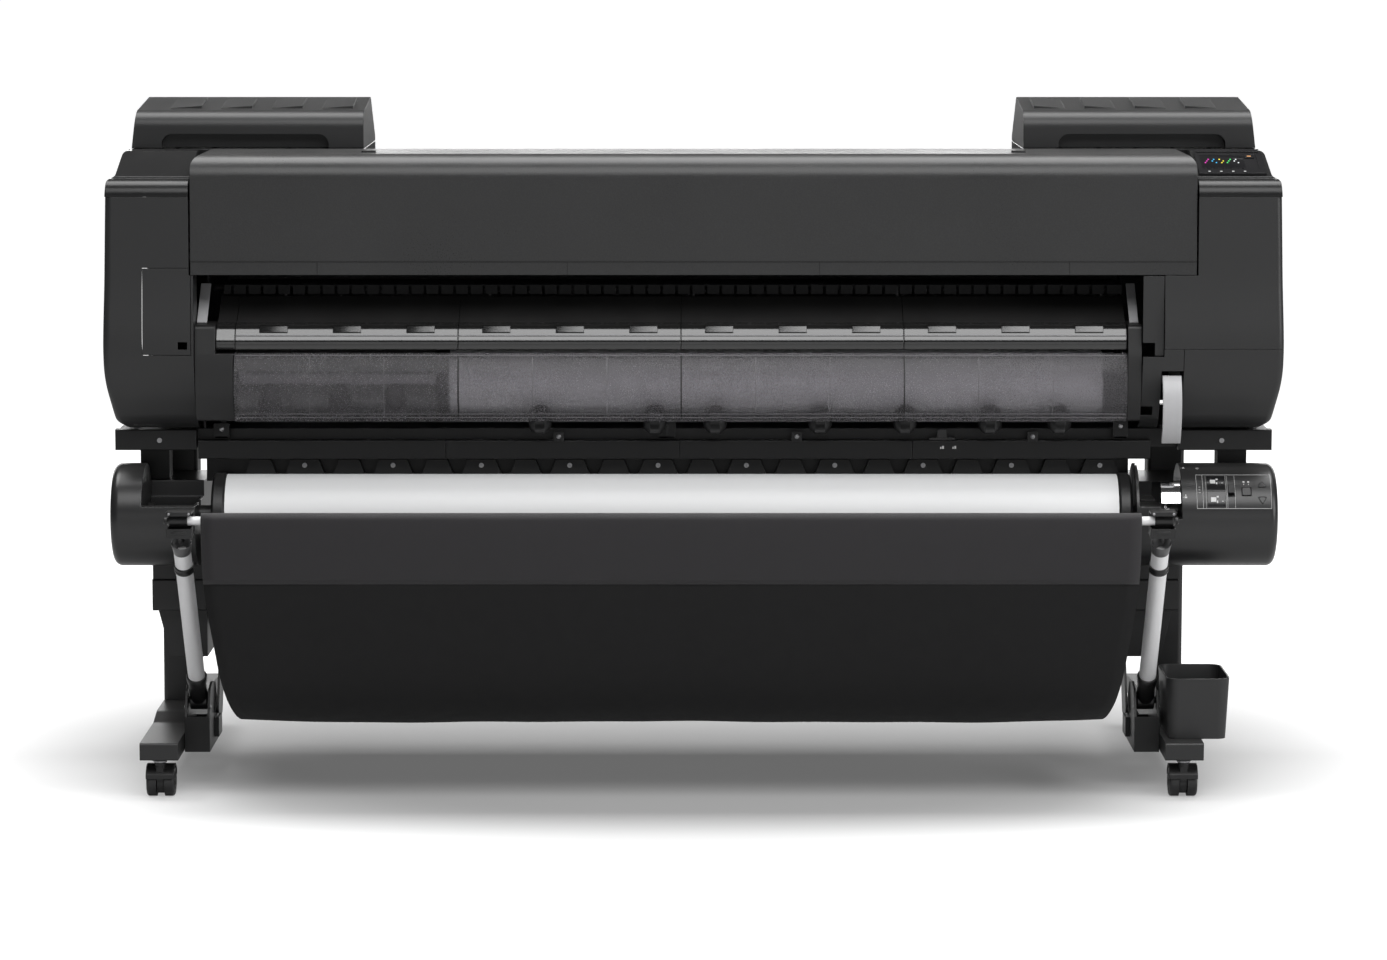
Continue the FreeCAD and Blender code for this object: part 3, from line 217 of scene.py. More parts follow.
def moulded(name, colour, rough=0.45, grain=0.0016, bump=0.12, spread=0.08, edge=0.0022,
            wear_and_highlight=0.5, dust=0.12, worn_and_highlight_colour=None, shine=0.5):
    """Moulded plastic: grain from the mould, softened edges with wear and a painted highlight on them,
    and a little dust.
    """
    material, tree, shader = new_finish(name)
    pebbles = placed(tree, GRAIN, Size=grain, Spread=spread)
    edges = placed(tree, WORN_AND_LIT_EDGES, Radius=edge, Amount=wear_and_highlight)
    film = placed(tree, DUST, Amount=dust)
    base = tinted(tree, colour, pebbles.outputs["Tone"])
    lit_and_worn_edge_colour = worn_and_highlight_colour or tuple(min(1.0, c * 2.2 + 0.01) for c in colour)
    # The edges are lightened: handling wear and a painted highlight.
    base = blended(tree, edges.outputs["Mask"], base, lit_and_worn_edge_colour)
    base = blended(tree, film.outputs["Mask"], base, (0.30, 0.29, 0.28))
    wire(tree, base, shader.inputs["Base Color"])
    roughness = maths(tree, "MULTIPLY", pebbles.outputs["Tone"], rough)
    roughness = maths(tree, "SUBTRACT", roughness,
                      maths(tree, "MULTIPLY", edges.outputs["Mask"], 0.15), clamp=True)
    wire(tree, roughness, shader.inputs["Roughness"])
    add_relief(tree, shader, pebbles.outputs["Height"], bump, 0.0004, edges.outputs["Normal"])
    shader.inputs["Specular IOR Level"].default_value = shine
    return material


def dress(material, *names):
    """Gives CAD pieces a finish in every slot they have."""
    for name in names:
        slots = nodes[name].data.materials
        if not slots:
            slots.append(material)
        for i in range(len(slots)):
            slots[i] = material


COVER_GREY = (0.024, 0.0242, 0.0247)
cover_plastic = moulded("cover_plastic", COVER_GREY, rough=0.40, edge=0.0010, wear_and_highlight=0.25, shine=0.38)
dress(cover_plastic, "left_side_cover", "right_side_cover", "access_door", "maintenance_cover",
      "mouth_trims")


# ---- top cover ----------------------------------------------------------------------------
# One long lifting cover, moulded in the same plastic with a coarser pebble on its front face.
# Four lip segments meet along its lower edge, and two small stops sit at the rear of its top.
top_plastic = moulded("top_cover_plastic", COVER_GREY, rough=0.33, grain=0.0024, bump=0.20,
                      spread=0.20, edge=0.0015, wear_and_highlight=0.25, shine=0.40)
dress(top_plastic, "top_cover")
# Near black: the cover stops' own colour, and painted shade in seams and grooves.
stop_black_and_gap_shade = moulded("stop_black_and_gap_shade", (0.004, 0.004, 0.0042), rough=0.6, wear_and_highlight=0.0, dust=0.0, edge=0.0004)


def linked(name, mesh, material):
    """An object for a mesh, in the scene and in its finish."""
    piece = bpy.data.objects.new(name, mesh)
    bpy.context.scene.collection.objects.link(piece)
    mesh.materials.append(material)
    return piece


def new_piece(name, bm, body, material, standing_for=()):
    """Makes a piece of the bmesh that rides on a body and takes a finish."""
    piece = linked(name, finished_mesh(name, bm), material)
    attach(piece, body)
    if standing_for:
        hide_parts(*standing_for)


def add_prism(bm, corners, place, thickness, rim=0.0):
    """A plate: its outline (a, b) put in space by place, pushed back by the thickness vector."""
    front = [bm.verts.new(place(a, b)) for a, b in corners]
    back = [bm.verts.new(v.co + thickness) for v in front]
    faces = [bm.faces.new(front), bm.faces.new(back[::-1])]
    count = len(front)
    for i in range(count):
        following = (i + 1) % count
        faces.append(bm.faces.new((front[following], front[i], back[i], back[following])))
    bmesh.ops.recalc_face_normals(bm, faces=faces)
    if rim:
        bmesh.ops.bevel(bm, geom=list(faces[0].edges), offset=rim, segments=2, profile=0.6,
                        affect="EDGES")


def finished_mesh(name, bm, smooth_angle=0.6):
    """Turns the bmesh into a mesh with smooth shading up to the given edge angle."""
    bm.normal_update()
    for face in bm.faces:
        face.smooth = True
    for edge in bm.edges:
        if len(edge.link_faces) == 2 and edge.calc_face_angle(0.0) > smooth_angle:
            edge.smooth = False
    mesh = bpy.data.meshes.new(name)
    bm.to_mesh(mesh)
    bm.free()
    return mesh


def rectangle(x0, x1, y0, y1, radius=0.0, steps=4):
    """Corners of a rectangle with rounded corners, anticlockwise."""
    if not radius:
        return [(x0, y0), (x1, y0), (x1, y1), (x0, y1)]
    corners = []
    centres = ((x1 - radius, y1 - radius, 0), (x0 + radius, y1 - radius, 90),
               (x0 + radius, y0 + radius, 180), (x1 - radius, y0 + radius, 270))
    for cx, cy, start in centres:
        for i in range(steps + 1):
            turn = math.radians(start + 90 * i / steps)
            corners.append((cx + radius * math.cos(turn), cy + radius * math.sin(turn)))
    return corners


def facing_front(y):
    """Places (x, z) on an upright plane at depth y."""
    return lambda x, z: Vector((x, y, z))


cover_low, cover_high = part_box("top_cover")
LIP_SEAMS_X = (-0.6355, -0.213, 0.213, 0.6355)
GROOVE_LOW, GROOVE_HIGH = 0.9138, 0.9153
SEAM_HALF, SEAM_PROUD = 0.0006, 0.0002
# Thin black strips a hair proud of the face paint the shade in the four lip seams and in the groove
# along the cover's lower edge.
bm = bmesh.new()
for x in LIP_SEAMS_X:
    add_prism(bm, rectangle(x - SEAM_HALF, x + SEAM_HALF, cover_low.z + 0.0005, GROOVE_LOW),
              facing_front(cover_low.y - SEAM_PROUD), Vector((0, 2 * SEAM_PROUD, 0)))
add_prism(bm, rectangle(cover_low.x + 0.002, cover_high.x - 0.002, GROOVE_LOW, GROOVE_HIGH),
          facing_front(cover_low.y - SEAM_PROUD), Vector((0, 0.0016, 0)))
new_piece("lip_seam_shade", bm, "lid", stop_black_and_gap_shade)

bm = bmesh.new()
STOP_X, STOP_TOP_Z, STOP_HALF = (-0.5535, 0.5535), 1.0975, 0.012
for x in STOP_X:
    add_prism(bm, rectangle(x - STOP_HALF, x + STOP_HALF, -0.166, -0.148, 0.003),
              lambda a, b: Vector((a, b, STOP_TOP_Z)), Vector((0, 0, -0.0035)), rim=0.0006)
new_piece("cover_stops", bm, "lid", stop_black_and_gap_shade)

# ---- shoulders and tank covers ------------------------------------------------------------
# The shoulders are moulded in black below the ink tank covers; the tank covers are hinged
# hoods in the body's grey, with a dark finger recess along the front.
shoulder_plastic = moulded("shoulder_plastic", (0.010, 0.0101, 0.0104), rough=0.26, wear_and_highlight=0.25,
                           dust=0.03, shine=0.30)
dress(shoulder_plastic, "left_shoulder", "right_shoulder")
hood_plastic = moulded("tank_cover_plastic", (0.021, 0.0212, 0.0217), rough=0.35, wear_and_highlight=0.25,
                       dust=0.06, shine=0.34)
dress(hood_plastic, "left_tank_cover", "right_tank_cover")
tank_plastic = moulded("tank_plastic", (0.55, 0.55, 0.53), rough=0.4, wear_and_highlight=0.1)
dress(tank_plastic, "ink_tanks", "maintenance_cartridge")

# ---- operation panel ----------------------------------------------------------------------
# A black glossy panel let into the right shoulder's slope: a glass display with a few plain
# coloured marks, a lit power key and four touch marks below it.
panel_gloss = moulded("panel_gloss", (0.008, 0.008, 0.009), rough=0.16, bump=0.02, wear_and_highlight=0.1,
                      dust=0.04, edge=0.001)
dress(panel_gloss, "operation_panel", "power_key")


def glowing(name, colour, strength):
    """A lit mark: a dark lens with an even glow and a faint mottle across it."""
    material, tree, shader = new_finish(name)
    pebbles = placed(tree, GRAIN, Size=0.0008, Spread=0.3)
    wire(tree, tinted(tree, colour, pebbles.outputs["Tone"]), shader.inputs["Emission Color"])
    wire(tree, tinted(tree, tuple(c * 0.3 for c in colour), pebbles.outputs["Tone"]),
         shader.inputs["Base Color"])
    shader.inputs["Emission Strength"].default_value = strength
    shader.inputs["Roughness"].default_value = 0.3
    return material


SLOPE_RISE, SLOPE_RUN = 37.5, 120.0
PANEL_TILT = math.atan2(SLOPE_RISE, SLOPE_RUN)
PANEL_MIDDLE = Vector((0.913, -0.148, 1.0754))


def on_panel(rise):
    """Places (x, up the slope) on the panel, rise above its middle plane."""
    along = Vector((0, math.cos(PANEL_TILT), math.sin(PANEL_TILT)))
    out = Vector((0, -math.sin(PANEL_TILT), math.cos(PANEL_TILT)))
    return lambda x, up: Vector((x, PANEL_MIDDLE.y, PANEL_MIDDLE.z)) + along * up + out * rise


panel_out = on_panel(1.0)(0, 0) - on_panel(0.0)(0, 0)
glass_black = moulded("display_glass", (0.004, 0.004, 0.005), rough=0.06, bump=0.0, wear_and_highlight=0.0,
                      dust=0.03, edge=0.0004)
bm = bmesh.new()
add_prism(bm, rectangle(0.8665, 0.9395, -0.031, 0.034, 0.002), on_panel(0.0026),
          panel_out * -0.001, rim=0.0003)
new_piece("display_glass", bm, "machine", glass_black)

MARK_COLOURS = (("magenta", (0.8, 0.05, 0.5)), ("cyan", (0.05, 0.5, 0.9)),
                ("yellow", (0.9, 0.75, 0.05)), ("green", (0.1, 0.8, 0.2)),
                ("pale", (0.75, 0.78, 0.8)))
FIRST_MARK_X, GROUP_PITCH, MARK_PITCH, ROWS = 0.872, 0.0125, 0.0031, 3
for i, (label, colour) in enumerate(MARK_COLOURS):
    bm = bmesh.new()
    for j in range(ROWS):
        x = FIRST_MARK_X + i * GROUP_PITCH + j * MARK_PITCH
        up = -0.006 + 0.008 * ((i + j) % ROWS)
        add_prism(bm, rectangle(x, x + 0.0022, up, up + 0.0035, 0.0004), on_panel(0.0029),
                  panel_out * -0.0003)
    new_piece(f"display_mark_{label}", bm, "machine",
              glowing(f"mark_{label}", colour, 0.9))

key_lamp = glowing("key_lamp", (0.9, 0.45, 0.2), 0.7)
bm = bmesh.new()
add_prism(bm, rectangle(0.9465, 0.9535, 0.0235, 0.0262, 0.0006), on_panel(0.0039), panel_out * -0.0004)
new_piece("power_lamp", bm, "panel_power_key", key_lamp)

bm = bmesh.new()
TOUCH_X = (0.876, 0.896, 0.916, 0.936)
for x in TOUCH_X:
    add_prism(bm, rectangle(x - 0.002, x + 0.002, -0.0485, -0.0465, 0.0004), on_panel(0.0033),
              panel_out * -0.0003)
print_white = moulded("printed_white", (0.62, 0.62, 0.62), rough=0.5, bump=0.02, wear_and_highlight=0.05, dust=0.0,
                      edge=0.0002)
new_piece("panel_key_marks", bm, "machine", print_white)

# ---- chassis, rear and paper path ---------------------------------------------------------
# Pressed steel with a dark powder coat: base pan, frames, ribs and rails. The carriage rail is
# plated sheet; the platen and guides are black plastic; the feed roller has a ground surface.
def coated_steel(name, colour, rough=0.38, peel=0.0009, bump=0.10, shine=0.5):
    """Powder-coated steel: orange peel, softened edges with a little metal showing through and a
    painted highlight on them.
    """
    return moulded(name, colour, rough=rough, grain=peel, bump=bump, spread=0.05, edge=0.0012,
                   wear_and_highlight=0.35, dust=0.12, worn_and_highlight_colour=(0.10, 0.10, 0.102), shine=shine)


def brushed():
    """Fine parallel scratches along X, and a slow change of tone."""
    group, given, out = new_group("brushed_lines", {"Pitch": 0.0006, "Spread": 0.12},
                                  {"Height": "NodeSocketFloat", "Tone": "NodeSocketFloat"})
    stretch = group.nodes.new("ShaderNodeMapping")
    stretch.inputs["Scale"].default_value = (0.02, 1.0, 1.0)
    wire(group, object_place(group), stretch.inputs["Vector"])
    frequency = maths(group, "DIVIDE", 1.0, given.outputs["Pitch"])
    lines = noise(group, stretch.outputs["Vector"], frequency, 3.0)
    wire(group, lines, out.inputs["Height"])
    centred = maths(group, "SUBTRACT", lines, 0.5)
    wire(group, maths(group, "ADD", maths(group, "MULTIPLY", centred, given.outputs["Spread"]), 1.0),
         out.inputs["Tone"])
    return group


BRUSHED = brushed()


def bare_metal(name, colour, rough=0.28, pitch=0.0006, edge=0.0008, spread=0.12, metal=1.0):
    """Metal with drawn or brushed lines, and polished edges that are also lightened with a painted
    highlight.
    """
    material, tree, shader = new_finish(name)
    shader.inputs["Metallic"].default_value = metal
    lines = placed(tree, BRUSHED, Pitch=pitch, Spread=spread)
    edges = placed(tree, WORN_AND_LIT_EDGES, Radius=edge, Amount=0.5)
    base = tinted(tree, colour, lines.outputs["Tone"])
    # The edges are lightened: polish and a painted highlight.
    wire(tree, blended(tree, edges.outputs["Mask"], base, tuple(min(1.0, c * 1.2) for c in colour)),
         shader.inputs["Base Color"])
    wire(tree, maths(tree, "MULTIPLY", lines.outputs["Tone"], rough), shader.inputs["Roughness"])
    add_relief(tree, shader, lines.outputs["Height"], 0.08, 0.0002, edges.outputs["Normal"])
    return material


powder_coat = coated_steel("powder_coat", (0.009, 0.0091, 0.0094), shine=0.3)
dress(powder_coat, "chassis", "front_rails", "paper_guide_plates", "stand_crossbar",
      "basket_brackets")
dress(cover_plastic, "rear_cover")
REAR_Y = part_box("rear_cover")[1].y
REAR_SEAMS_X = (-0.262, 0.262)
# Thin black strips paint the shade in the rear cover's two seams.
bm = bmesh.new()
for x in REAR_SEAMS_X:
    add_prism(bm, rectangle(x - SEAM_HALF, x + SEAM_HALF, 0.645, 1.050),
              facing_front(REAR_Y + SEAM_PROUD), Vector((0, -2 * SEAM_PROUD, 0)))
new_piece("rear_seam_shade", bm, "machine", stop_black_and_gap_shade)

# A thin black sheet with a foam grain sits just behind the vent slots and paints the shade inside the
# body.
vent_shade_black = moulded("vent_shade_black", (0.006, 0.006, 0.0062), rough=0.9, grain=0.0022, bump=0.5,
                     wear_and_highlight=0.0, dust=0.0, edge=0.0004, shine=0.1)
VENT_SHADE_OUTLINE = rectangle(0.290, 0.604, 0.690, 0.800, 0.004)
bm = bmesh.new()
add_prism(bm, VENT_SHADE_OUTLINE, facing_front(REAR_Y - 0.0045), Vector((0, 0.0013, 0)), rim=0.0003)
new_piece("vent_shade_sheet", bm, "machine", vent_shade_black)


def add_turned(bm, start, direction, stations, around=28):
    """A turned part: (distance along, radius) from one end to the other, closed at both."""
    turn = direction.to_track_quat("Z", "Y")
    rings = []
    for along, radius in stations:
        ring = []
        for i in range(around):
            angle = 2 * math.pi * i / around
            spot = Vector((radius * math.cos(angle), radius * math.sin(angle), along))
            ring.append(bm.verts.new(start + turn @ spot))
        rings.append(ring)
    faces = [bm.faces.new(rings[0][::-1]), bm.faces.new(rings[-1])]
    for low, high in zip(rings, rings[1:]):
        for i in range(around):
            j = (i + 1) % around
            faces.append(bm.faces.new((low[i], low[j], high[j], high[i])))
    bmesh.ops.recalc_face_normals(bm, faces=faces)


def add_screw(bm, middle, out, radius=0.004, height=0.0018):
    """A pan head with a domed face, seated on a surface."""
    add_turned(bm, middle, out, [(-0.0004, radius), (height * 0.45, radius),
                                 (height * 0.85, radius * 0.75), (height, radius * 0.4)], 20)


nose_plastic = moulded("nose_plastic", (0.010, 0.0101, 0.0104), rough=0.15, grain=0.0008, bump=0.04,
                       wear_and_highlight=0.2, shine=0.9)
dress(nose_plastic, "guide_nose")
plated = bare_metal("zinc_plate", (0.36, 0.36, 0.37), rough=0.35)
dress(plated, "carriage_rail", "screws")
black_zinc = bare_metal("black_zinc", (0.045, 0.045, 0.047), rough=0.30)
REAR_SCREWS_X = (-0.955, -0.640, -0.277, -0.247, 0.0, 0.247, 0.277, 0.640, 0.955)
toward_rear = Vector((0, 1, 0))
bm = bmesh.new()
for x in REAR_SCREWS_X:
    for z in (0.660, 1.035):
        add_screw(bm, Vector((x, REAR_Y, z)), toward_rear, 0.0042, 0.0020)
new_piece("rear_screws", bm, "machine", black_zinc)
path_black = moulded("path_black", (0.010, 0.010, 0.0105), rough=0.42, edge=0.001, grain=0.0012)
dress(path_black, "end_plates", "power_inlet", "carriage")
path_matt = moulded("path_matt", (0.011, 0.011, 0.0114), rough=0.6, edge=0.001, grain=0.0012,
                    shine=0.2)
dress(path_matt, "platen", "ejection_guide")
silver_plastic = moulded("silver_plastic", (0.44, 0.44, 0.45), rough=0.33, grain=0.0007, bump=0.04,
                         wear_and_highlight=0.3)
dress(silver_plastic, "side_stays", "release_lever")
ground_rubber = moulded("ground_rubber", (0.03, 0.03, 0.03), rough=0.7, grain=0.0005, bump=0.3,
                        edge=0.0006)
dress(ground_rubber, "feed_roller")

# ---- rolls --------------------------------------------------------------------------------
# Two paper holders of black plastic, each with a roll of white coated paper on a card core: a
# narrower one behind the smoked window and the full-width one in the unit below.
dress(path_black, "upper_spool", "lower_spool")


def paper_finish():
    """White coated paper with fine fibres."""
    material, tree, shader = new_finish("coated_paper")
    fibres = placed(tree, GRAIN, Size=0.0009, Spread=0.012)
    wire(tree, tinted(tree, (0.86, 0.865, 0.87), fibres.outputs["Tone"]), shader.inputs["Base Color"])
    wire(tree, maths(tree, "MULTIPLY", fibres.outputs["Tone"], 0.5), shader.inputs["Roughness"])
    add_relief(tree, shader, fibres.outputs["Height"], 0.05, 0.0002)
    return material


paper_white = paper_finish()
dress(paper_white, "upper_paper_roll", "lower_paper_roll")

# ---- smoked roll cover --------------------------------------------------------------------
# A curved window of smoked acrylic with a fine matt inside, hinged under the nose, so the roll
# behind shows only as soft light.
def smoked_finish():
    """Smoked acrylic with a slight haze."""
    material, tree, shader = new_finish("smoked_acrylic")
    haze = placed(tree, GRAIN, Size=0.0012, Spread=0.05)
    wire(tree, tinted(tree, (0.56, 0.545, 0.57), haze.outputs["Tone"]), shader.inputs["Base Color"])
    wire(tree, maths(tree, "MULTIPLY", haze.outputs["Tone"], 0.27), shader.inputs["Roughness"])
    shader.inputs["Transmission Weight"].default_value = 0.93
    shader.inputs["IOR"].default_value = 1.2
    add_relief(tree, shader, haze.outputs["Height"], 0.05, 0.0002)
    return material


smoked = smoked_finish()
dress(smoked, "roll_cover")


def add_section(bm, profile, x0, x1, rim=0.0):
    """A bar along X with the side profile given as (y, z)."""
    add_prism(bm, profile, lambda y, z: Vector((x0, y, z)), Vector((x1 - x0, 0, 0)), rim)


def add_bar(bm, start, end, radius, rim=0.0008, around=28):
    """A round bar between two points with softened ends."""
    length = (end - start).length
    add_turned(bm, start, end - start, [(0, radius - rim), (rim, radius), (length - rim, radius),
                                        (length, radius - rim)], around)


def add_wrapped(bm, x0, x1, turn0, turn1, centre, radius, thickness, steps=8):
    """A plate wrapped round an axis along X: angles in degrees up from the front."""
    rings = []
    for i in range(steps + 1):
        angle = math.radians(turn0 + (turn1 - turn0) * i / steps)
        out = Vector((0, -math.cos(angle), math.sin(angle)))
        spot = Vector((0, centre[0], centre[1]))
        ring = [Vector((x, 0, 0)) + spot + out * r
                for x, r in ((x0, radius), (x1, radius), (x1, radius + thickness),
                             (x0, radius + thickness))]
        rings.append([bm.verts.new(v) for v in ring])
    faces = [bm.faces.new(rings[0]), bm.faces.new(rings[-1][::-1])]
    for low, high in zip(rings, rings[1:]):
        for i in range(4):
            j = (i + 1) % 4
            faces.append(bm.faces.new((low[i], high[i], high[j], low[j])))
    bmesh.ops.recalc_face_normals(bm, faces=faces)


# The window's face is an arc about this axis; thin light grey strips paint highlight lines on the ribs
# at its thirds and along its lower and upper edges.
WINDOW_AXIS, WINDOW_R = (-0.147, 0.699), 0.09905
MODULE_LEFT, MODULE_WIDTH = -0.7775, 0.378375
MODULE_EDGES = [MODULE_LEFT + i * MODULE_WIDTH for i in range(5)]
RIB_HALF, RIB_RISE = 0.0005, 0.0003
rib_highlight_grey = moulded("rib_highlight_grey", (0.17, 0.165, 0.175), rough=0.3, grain=0.0006, bump=0.03, edge=0.0003)
bm = bmesh.new()
for left, right in zip(MODULE_EDGES, MODULE_EDGES[1:]):
    for share in (1 / 3, 2 / 3):
        x = left + (right - left) * share
        add_wrapped(bm, x - RIB_HALF, x + RIB_HALF, -32, 32, WINDOW_AXIS, WINDOW_R, RIB_RISE)
for turn in (-27.2, -31.2, 33.0):
    add_wrapped(bm, -0.7785, 0.735, turn, turn + 0.75, WINDOW_AXIS, WINDOW_R, 0.0005, steps=1)
new_piece("window_rib_highlights", bm, "window", rib_highlight_grey)
# Black strips paint the shade in the seams between the window's modules.
bm = bmesh.new()
for x in MODULE_EDGES[1:4]:
    add_wrapped(bm, x - 0.0012, x + 0.0012, -33, 33, WINDOW_AXIS, WINDOW_R, RIB_RISE)
new_piece("window_seam_shade", bm, "window", stop_black_and_gap_shade)

# Behind the window, guide wheels on a thin bar hold the paper to the roll; a pale guard strip
# shows on the left, where no paper lies.
GUIDE_Y, GUIDE_Z, GUIDE_R = -0.190, 0.6405, 0.005
WHEELS_X = (-0.262, -0.066, 0.037, 0.216, 0.361, 0.506, 0.625)
LEFT_WHEELS_X, LEFT_WHEELS_Y, LEFT_WHEELS_Z = (-0.722, -0.603, -0.509), -0.196, 0.681
WHEEL = ((0, 0.010), (0.004, 0.019), (0.012, 0.025), (0.028, 0.025), (0.036, 0.019), (0.040, 0.010))
SMALL_WHEEL = ((0, 0.010), (0.006, 0.019), (0.012, 0.022), (0.020, 0.022), (0.026, 0.019),
               (0.032, 0.010))
toward_right = Vector((1, 0, 0))
bm = bmesh.new()
add_bar(bm, Vector((-0.7805, GUIDE_Y, GUIDE_Z)), Vector((0.7365, GUIDE_Y, GUIDE_Z)), GUIDE_R)
for x in WHEELS_X:
    add_turned(bm, Vector((x - 0.020, GUIDE_Y, GUIDE_Z)), toward_right, WHEEL, 36)
for x in LEFT_WHEELS_X:
    add_turned(bm, Vector((x - 0.016, LEFT_WHEELS_Y, LEFT_WHEELS_Z)), toward_right, SMALL_WHEEL, 36)
    add_section(bm, [(-0.199, 0.640), (-0.193, 0.640), (-0.193, 0.681), (-0.199, 0.681)],
                x - 0.020, x + 0.020)
new_piece("guide_wheels", bm, "machine", path_black)
guard_pale = moulded("guard_pale", (0.42, 0.42, 0.42), rough=0.45, grain=0.0007, edge=0.0006)
bm = bmesh.new()
add_section(bm, [(-0.174, 0.700), (-0.171, 0.700), (-0.171, 0.716), (-0.174, 0.716)],
            -0.776, -0.432, rim=0.0004)
new_piece("roll_guard", bm, "machine", guard_pale)

# Small tabs along the nose above the window, and a fine light grey strip that paints a highlight line
# along it.
bm = bmesh.new()
for left, right in zip(MODULE_EDGES, MODULE_EDGES[1:]):
    for share in (0.17, 0.5, 0.83):
        x = left + (right - left) * share
        add_section(bm, [(-0.2185, 0.8040), (-0.2212, 0.8030), (-0.2268, 0.7930), (-0.2248, 0.7920)],
                    x - 0.024, x + 0.024, rim=0.0003)
new_piece("nose_tabs", bm, "machine", nose_plastic)
bm = bmesh.new()
for left, right in zip(MODULE_EDGES, MODULE_EDGES[1:]):
    add_section(bm, [(-0.2250, 0.7880), (-0.2283, 0.7880), (-0.2288, 0.7868), (-0.2255, 0.7868)],
                left + 0.001, right - 0.002)
new_piece("nose_highlight_line", bm, "machine", rib_highlight_grey)

# Black steel catches with screws close the gap between the window and the front beam.
CATCHES = ((-0.822, -0.795, 0.606, 0.632), (-0.061, -0.030, 0.606, 0.636),
           (0.718, 0.744, 0.606, 0.638))
CATCH_Y, CATCH_REAR, CATCH_PLATE = -0.1735, -0.148, Vector((0, 0.0025, 0))
bm = bmesh.new()
for x0, x1, low, high in CATCHES:
    add_prism(bm, rectangle(x0, x1, low, high, 0.003), facing_front(CATCH_Y), CATCH_PLATE, rim=0.0004)
    add_section(bm, [(CATCH_Y, low), (CATCH_Y, low + 0.003), (CATCH_REAR, low + 0.003),
                     (CATCH_REAR, low)], x0 + 0.002, x1 - 0.002)
new_piece("front_catches", bm, "machine", powder_coat)

bm = bmesh.new()
toward_front = Vector((0, -1, 0))
SMALL_PLATES_X = (-0.231, 0.177, 0.581)
for x, z in ((-0.808, 0.622), (0.731, 0.627), *((x, 0.609) for x in SMALL_PLATES_X)):
    add_screw(bm, Vector((x, -0.1737, z)), toward_front)
new_piece("catch_screws", bm, "machine", plated)
bm = bmesh.new()
for x in SMALL_PLATES_X:
    add_prism(bm, rectangle(x - 0.009, x + 0.009, 0.600, 0.617, 0.002), facing_front(CATCH_Y),
              CATCH_PLATE, rim=0.0003)
add_turned(bm, Vector((-0.0455, -0.1739, 0.626)), toward_front,
           [(0, 0.0035), (0.0006, 0.0035)], 20)
add_prism(bm, rectangle(-0.0467, -0.0443, 0.612, 0.626), facing_front(-0.1745),
          Vector((0, 0.0008, 0)))
new_piece("catch_plates", bm, "machine", path_black)

# ---- roll unit ----------------------------------------------------------------------------
# Two moulded housings carry the lower spool. The right one has the chrome lock lever, a slide
# switch and three keys on its drum.
housing_plastic = moulded("housing_plastic", (0.018, 0.0182, 0.0187), rough=0.30)
dress(housing_plastic, "left_roll_housing", "right_roll_housing")
bright = bare_metal("bright_chrome", (0.72, 0.72, 0.73), rough=0.10, pitch=0.0012, spread=0.03)
dress(bright, "lock_lever")
key_plastic = moulded("key_plastic", (0.016, 0.016, 0.017), rough=0.3, grain=0.0006, bump=0.04,
                      edge=0.0006)
dress(key_plastic, "mode_switch", "square_key", "up_key", "down_key", "selector_lever")

# A raised border frames the controls on the drum, with a glossy dark field and plain marks.
DRUM_AXIS, DRUM_R = (-0.172, 0.475), 0.088
PLATE_LOW, PLATE_HIGH = 13.0, 56.0
bm = bmesh.new()
for turn in (PLATE_LOW, PLATE_HIGH):
    add_wrapped(bm, 0.855, 0.982, turn, turn + 0.6, DRUM_AXIS, DRUM_R, 0.0005, steps=1)
for x in (0.855, 0.8655, 0.9815):
    add_wrapped(bm, x, x + 0.0007, PLATE_LOW, PLATE_HIGH, DRUM_AXIS, DRUM_R, 0.0004)
for x0, x1 in ((0.871, 0.8715), (0.9048, 0.9053), (0.9072, 0.9078), (0.9202, 0.9208)):
    add_wrapped(bm, x0, x1, PLATE_LOW + 1, PLATE_HIGH - 1, DRUM_AXIS, DRUM_R, 0.0003)
new_piece("control_border", bm, "machine", guard_pale)
bm = bmesh.new()
for low, high in ((PLATE_LOW + 2.5, 33.0), (35.0, PLATE_HIGH - 2)):
    add_wrapped(bm, 0.8735, 0.9040, low, high, DRUM_AXIS, DRUM_R, 0.0003)
new_piece("control_fields", bm, "machine", panel_gloss)

bm = bmesh.new()


def add_mark(x, turn, width, height, lift=0.0004):
    """A printed rectangle on the drum: width along X and height round it, in metres."""
    half = math.degrees(height / DRUM_R) / 2
    add_wrapped(bm, x - width / 2, x + width / 2, turn - half, turn + half, DRUM_AXIS,
                DRUM_R + lift - 0.0002, 0.0002, steps=2)


# x, degrees round the drum, width, height; the two pictures first, then the small key marks.
PICTURE = ((0.8835, 0.0, 0.009, 0.008), (0.8905, 3.2, 0.0035, 0.003), (0.8900, -2.6, 0.002, 0.004),
           (0.8990, -2.0, 0.0025, 0.001))
SMALL_MARKS = ((0.936, 45.5, 0.0032, 0.0030), (0.936, 42.2, 0.0010, 0.0022),
               (0.944, 45.5, 0.0032, 0.0030), (0.944, 42.2, 0.0010, 0.0022),
               (0.8365, 26.0, 0.0042, 0.0030), (0.8365, 28.6, 0.0022, 0.0018),
               (0.8320, 26.0, 0.0016, 0.0008), (0.8365, 70.0, 0.0042, 0.0030),
               (0.8365, 72.6, 0.0022, 0.0018), (0.8320, 70.0, 0.0016, 0.0008),
               (0.860, 70.0, 0.0060, 0.0012), (0.860, 68.0, 0.0030, 0.0012),
               (0.8602, 31.5, 0.0030, 0.0008), (0.8602, 35.0, 0.0030, 0.0008),
               (0.8602, 38.5, 0.0030, 0.0008))
for middle_turn in (23.5, 46.0):
    for x, turn, width, height in PICTURE:
        add_mark(x, middle_turn + turn, width, height)
